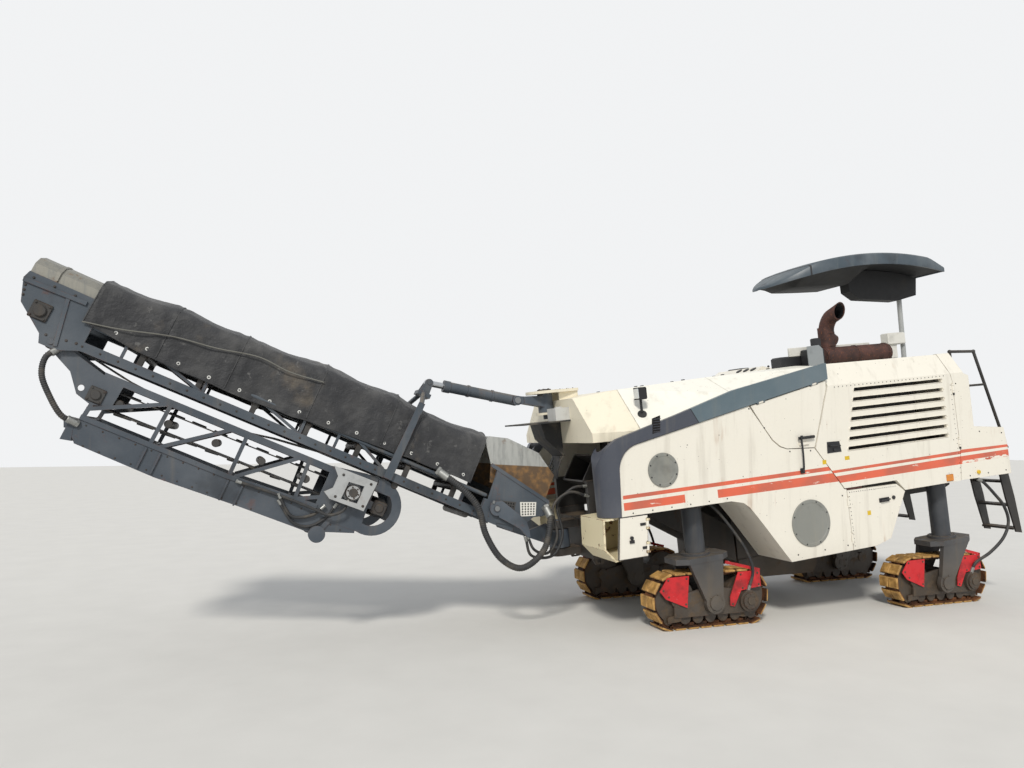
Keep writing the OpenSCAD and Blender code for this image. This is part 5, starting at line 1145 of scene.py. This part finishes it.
def bearing(kit, side, place, inner, outer, half, bevel, corner, bolt):
    """A square bearing housing at (s, n) on a side face, from y inner to outer, with a bolt near each corner."""
    s, n = place
    low, high = sorted((side * inner, side * outer))
    kit.box((s - half, low, n - half), (s + half, high, n + half), bevel)
    kit.bolts_round((s, side * outer, n), (0, side, 0), corner * math.sqrt(2), 4, bolt, math.pi / 4)


def fold_belt_n(s):
    """Height of the middle of the fold belt."""
    return -0.420 - (s - 1.05) * 0.0039


main_bolts, main_parts, fold_bolts, fold_parts = (Kit(CONVEYOR_MATRIX) for _ in range(4))
for side in (-1, 1):
    out = (0, side, 0)
    side_row(main_bolts, side, 0.420, (0.20, -0.105), (3.90, -0.105), 26)
    for first, last in (((3.96, 0.26), (4.46, 0.26)), ((3.95, -0.10), (4.18, -0.13)),
                        ((4.47, 0.10), (4.50, 0.22))):
        side_row(main_bolts, side, 0.420, first, last, 4, 0.012)
    side_row(main_bolts, side, 0.430, (0.04, -0.10), (0.10, -0.10), 2, 0.008)
    bearing(main_parts, side, (4.300, 0.030), 0.419, 0.436, 0.075, 0.012, 0.055, 0.012)
    main_parts.disc((4.300, side * 0.434, 0.030), out, 0.050, 0.022, sides=28, bevel=0.008)
    for s in ROLLER_AT:
        low, high = sorted((side * 0.352, side * 0.384))
        main_parts.box((s - 0.025, low, -0.100), (s + 0.025, high, 0.050), 0.006)
    side_row(fold_bolts, side, 0.372, (1.30, -0.730), (2.00, -0.640), 8, 0.008)
    side_row(fold_bolts, side, 0.372, (2.10, -0.840), (3.55, -0.855), 12, 0.008)
    side_row(fold_bolts, side, 0.372, (2.10, -0.680), (3.60, -0.690), 12, 0.008)
    for s, n in ((1.050, -0.420), (3.640, -0.430)):
        bearing(fold_parts, side, (s, n), 0.373, 0.388, 0.065, 0.010, 0.048, 0.010)
        fold_parts.disc((s, side * 0.386, n), out, 0.040, 0.018, sides=24, bevel=0.006)
    fold_parts.disc((4.125, side * 0.374, -0.165), out, 0.060, 0.012, sides=32, bevel=0.004)
    fold_parts.bolts_round((4.125, side * 0.386, -0.165), out, 0.044, 6, 0.007)
for s in ROLLER_AT:
    main_parts.disc((s, -0.352, 0.036), (0, 1, 0), 0.037, 0.704, sides=24, bevel=0.006)
for s, n in ((0.25, -0.162), (1.00, -0.170)):
    main_parts.disc((s, -0.382, n), (0, 1, 0), 0.034, 0.764, sides=24, bevel=0.006)
for s in np.arange(1.35, 3.50, 0.42):
    fold_parts.disc((s, -0.358, fold_belt_n(s)), (0, 1, 0), 0.036, 0.716, sides=24, bevel=0.006)
main_bolts.make("conveyor_bolts", "conveyor", "dark_steel", DARK)
main_parts.make("conveyor_rollers", "conveyor", "dark_steel", DARK)
fold_bolts.make("fold_bolts", "folding_section", "dark_steel", DARK)
fold_parts.make("fold_rollers", "folding_section", "dark_steel", DARK)

# Perforated plates on the tail's left side, the dark one in front of the pale one; their holes are near-black
# discs, painted shade for the dark seen through them
for name, finish, corners in (
        ("tail_plate_dark", DARK, [(-.029, .091), (-.170, .132), (-.201, -.017), (-.050, -.032)]),
        ("tail_plate_pale", WHITE, [(-.210, .148), (-.369, .211), (-.415, .085), (-.270, .020)])):
    plate, dots = Kit(CONVEYOR_MATRIX), Kit(CONVEYOR_MATRIX)
    plate.plate(corners, 0.0035, Matrix.Translation((0, -0.4335, 0)))
    c = np.array(corners)
    for a in np.linspace(0.14, 0.86, 5):
        for b in np.linspace(0.14, 0.86, 5):
            q = (1 - a) * ((1 - b) * c[0] + b * c[3]) + a * ((1 - b) * c[1] + b * c[2])
            dots.disc((q[0], -0.4333, q[1]), (0, -1, 0), 0.0085, 0.0010, sides=12)
    plate.make(name, "conveyor", "galvanised", finish, auto=0)
    dots.make(name + "_holes", "conveyor", "dark_steel", HOLE_SHADE)

# Cleats in a V on the fold belt, on the strand that faces the ground and on the one above it
cleats = Kit(CONVEYOR_MATRIX)
for s in np.arange(1.16, 3.56, 0.20):
    for side in (-1, 1):
        for face in (-1, 1):
            cleats.grid([[(at + e, side * y, fold_belt_n(at) + face * n)
                          for e, n in ((-0.010, 0.0895), (0.010, 0.0895), (0.006, 0.103), (-0.006, 0.103))]
                         for at, y in ((s, 0.015), (s + 0.10, 0.280))], closed_across=True, caps=True)
cleats.make("fold_belt_cleats", "folding_section", "belt_rubber", BELT)

# Motor of the fold section: ribs, cap bolts and its guard's bolts
MOTOR_S, MOTOR_N, MOTOR_END_Y = 1.345, -0.375, -0.500
motor = Kit(CONVEYOR_MATRIX)
for k in range(5):
    motor.disc((MOTOR_S, -0.415 - 0.016 * k, MOTOR_N), (0, -1, 0), 0.067, 0.007, sides=32)
motor.disc((MOTOR_S, MOTOR_END_Y, MOTOR_N), (0, -1, 0), 0.040, 0.012, sides=24, bevel=0.004)
motor.bolts_round((MOTOR_S, MOTOR_END_Y, MOTOR_N), (0, -1, 0), 0.050, 6, 0.008)
for s, n in ((1.225, -.245), (1.215, -.455), (1.490, -.260), (1.480, -.465)):
    motor.bolt((s, -0.490, n), (0, -1, 0), 0.013)
motor.make("fold_motor_ribs", "folding_section", "dark_steel", DARK)

# Lift pin keepers, caps on the cylinder's pin, and the slewing pin's cap
keep = Kit(CONVEYOR_MATRIX)
for side in (-1, 1):
    y0, y1 = sorted((side * 0.4705, side * 0.482))
    keep.box((0.045, y0, 0.028), (0.068, y1, 0.060), 0.003)
    keep.disc((0.0, side * 0.482, 0.0), (0, side, 0), 0.026, 0.004, sides=24)
keep.make("lift_pin_caps", "conveyor", "rod_steel", STEEL)
swivel = Kit(CHASSIS_MATRIX)
for k in (-1, 1):
    swivel.disc((-1.520, k * 0.066, 2.190), (0, k, 0), 0.034, 0.008, sides=24)
swivel.make("cylinder_pin_caps", "slewing_yoke", "rod_steel", STEEL)
top = Kit(CHASSIS_MATRIX)
top.disc((-1.190, 0, 2.2665), (0, 0, 1), 0.075, 0.016, sides=32, bevel=0.004)
top.bolts_round((-1.190, 0, 2.2825), (0, 0, 1), 0.055, 6, 0.009, across=((1, 0, 0), (0, 1, 0)))
for k in (-1, 1):
    for u in (-1.03, -0.95, -0.88):
        top.bolt((u, k * 0.060, 2.266), (0, 0, 1), 0.011)
top.make("slewing_cap", "chassis", "dark_steel", DARK)

# Rubber flaps that hang at the mouth of the transfer box
flaps = Kit(CHASSIS_MATRIX)
for k in range(6):
    y = -0.155 + k * 0.0525
    rows = [[(-1.112 - 0.085 * q - 0.012 * math.sin(3 * q + k), y + e, 1.565 - 0.230 * q) for e in (0.0, 0.048)]
            for q in np.linspace(0, 1, 9)]
    front = [[(a - 0.006, b, c) for a, b, c in row[::-1]] for row in rows]
    flaps.grid([r + f for r, f in zip(rows, front)], closed_across=True, caps=True)
flaps.make("transfer_flaps", "chassis", "belt_rubber", BELT)


# ---------------------------------------------------------------- seat
def power(q, e):
    """The size of q raised to e, with q's sign."""
    return math.copysign(abs(q) ** e, q)


def cushion(name, low, high, place):
    """A cushion between two corners: a superellipsoid, crowned in the middle and lower towards its edges."""
    middle, half = (np.array(high) + low) / 2, (np.array(high) - low) / 2
    rows = []
    for v in np.linspace(-math.pi / 2, math.pi / 2, 33):
        row = []
        for u in np.linspace(0, 2 * math.pi, 96, endpoint=False):
            cx = power(math.cos(v), 0.34) * power(math.cos(u), 0.30)
            cy = power(math.cos(v), 0.34) * power(math.sin(u), 0.30)
            crown = 1 - 0.16 * max(abs(cx), abs(cy)) ** 2 + 0.02 * math.cos(9 * cy) * (1 - cx * cx)
            row.append(middle + half * (cx, cy, power(math.sin(v), 0.62) * crown))
        rows.append(row)
    kit = Kit(place)
    kit.grid(rows[1:-1], closed_across=True, caps=True)
    return kit.make(name, "chassis", "seat_vinyl", VINYL, auto=0)


def vinyl():
    f = Finish("seat_vinyl")
    wear = f.noise(9.0, 5.0).over(0.5, 0.75)
    c = f.mix("#26272a", "#4a4844", wear * 0.6 + f.facing_up().over(0.6, 1.0) * 0.25)
    return f.end(c, 0.42 + wear * 0.25, bump=f.cells(320.0), depth=0.0006, coat=0.05)


VINYL = vinyl()
BACK_LEANS = math.radians(10)
BACK_MATRIX = (CHASSIS_MATRIX @ Matrix.Translation((3.070, 0.340, FLOOR_W + 0.480))
               @ Matrix.Rotation(BACK_LEANS, 4, "Y"))
base = cushion("seat_cushion", (2.660, 0.330, FLOOR_W + 0.378), (3.160, 0.810, FLOOR_W + 0.500), CHASSIS_MATRIX)
back = cushion("seat_back", (0.0, 0.0, 0.0), (0.100, 0.460, 0.530), BACK_MATRIX)
post = Kit(CHASSIS_MATRIX)
for up, radius, height, bevel in ((0.0, 0.060, 0.350, 0), (0.0, 0.130, 0.012, 0), (0.08, 0.085, 0.060, 0.01)):
    post.disc((2.900, 0.570, FLOOR_W + up), (0, 0, 1), radius, height, sides=40, bevel=bevel)
post.box((2.690, 0.370, FLOOR_W + 0.345), (3.130, 0.770, FLOOR_W + 0.380), 0.012)
post.box((3.100, 0.480, FLOOR_W + 0.350), (3.160, 0.660, FLOOR_W + 0.620), 0.012)
stand = post.make("seat_stand", "chassis", "dark_steel", BLACK)
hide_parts("operator_seat")

# ---------------------------------------------------------------- light and floor
scene = bpy.context.scene
scene.view_settings.view_transform = "Standard"
world = bpy.data.worlds.new("studio")
scene.world = world
world.use_nodes = True
wt = world.node_tree
wt.nodes.clear()
rays = wt.nodes.new("ShaderNodeLightPath")
glossy = wt.nodes.new("ShaderNodeMath")
glossy.operation = "MAXIMUM"
wt.links.new(rays.outputs["Is Camera Ray"], glossy.inputs[0])
wt.links.new(rays.outputs["Is Glossy Ray"], glossy.inputs[1])
soft, seen = wt.nodes.new("ShaderNodeBackground"), wt.nodes.new("ShaderNodeBackground")
soft.inputs["Color"].default_value = (0.90, 0.94, 1.0, 1)
soft.inputs["Strength"].default_value = 0.62
seen.inputs["Color"].default_value = (0.93, 0.94, 0.95, 1)
seen.inputs["Strength"].default_value = 0.95
both = wt.nodes.new("ShaderNodeMixShader")
wt.links.new(glossy.outputs[0], both.inputs[0])
wt.links.new(soft.outputs[0], both.inputs[1])
wt.links.new(seen.outputs[0], both.inputs[2])
sky = wt.nodes.new("ShaderNodeOutputWorld")
wt.links.new(both.outputs[0], sky.inputs[0])

sun = bpy.data.objects.new("sun", bpy.data.lights.new("sun", "SUN"))
scene.collection.objects.link(sun)
sun.data.energy = 2.3
sun.data.angle = math.radians(9)
sun.data.color = (1.0, 0.965, 0.90)
sun.matrix_world = Vector((-0.55, -0.95, 0.95)).to_track_quat("Z", "Y").to_matrix().to_4x4()

ground = Finish("studio_floor")
floor_finish = ground.end(ground.mix("#cfcdc8", "#dad8d3", ground.noise(2.0, 3.0)), 0.9)
FAR = 60.0
floor = piece("studio_floor", [(-FAR, -FAR, 0), (FAR, -FAR, 0), (FAR, FAR, 0), (-FAR, FAR, 0)], [(0, 1, 2, 3)],
              None, floor_finish)
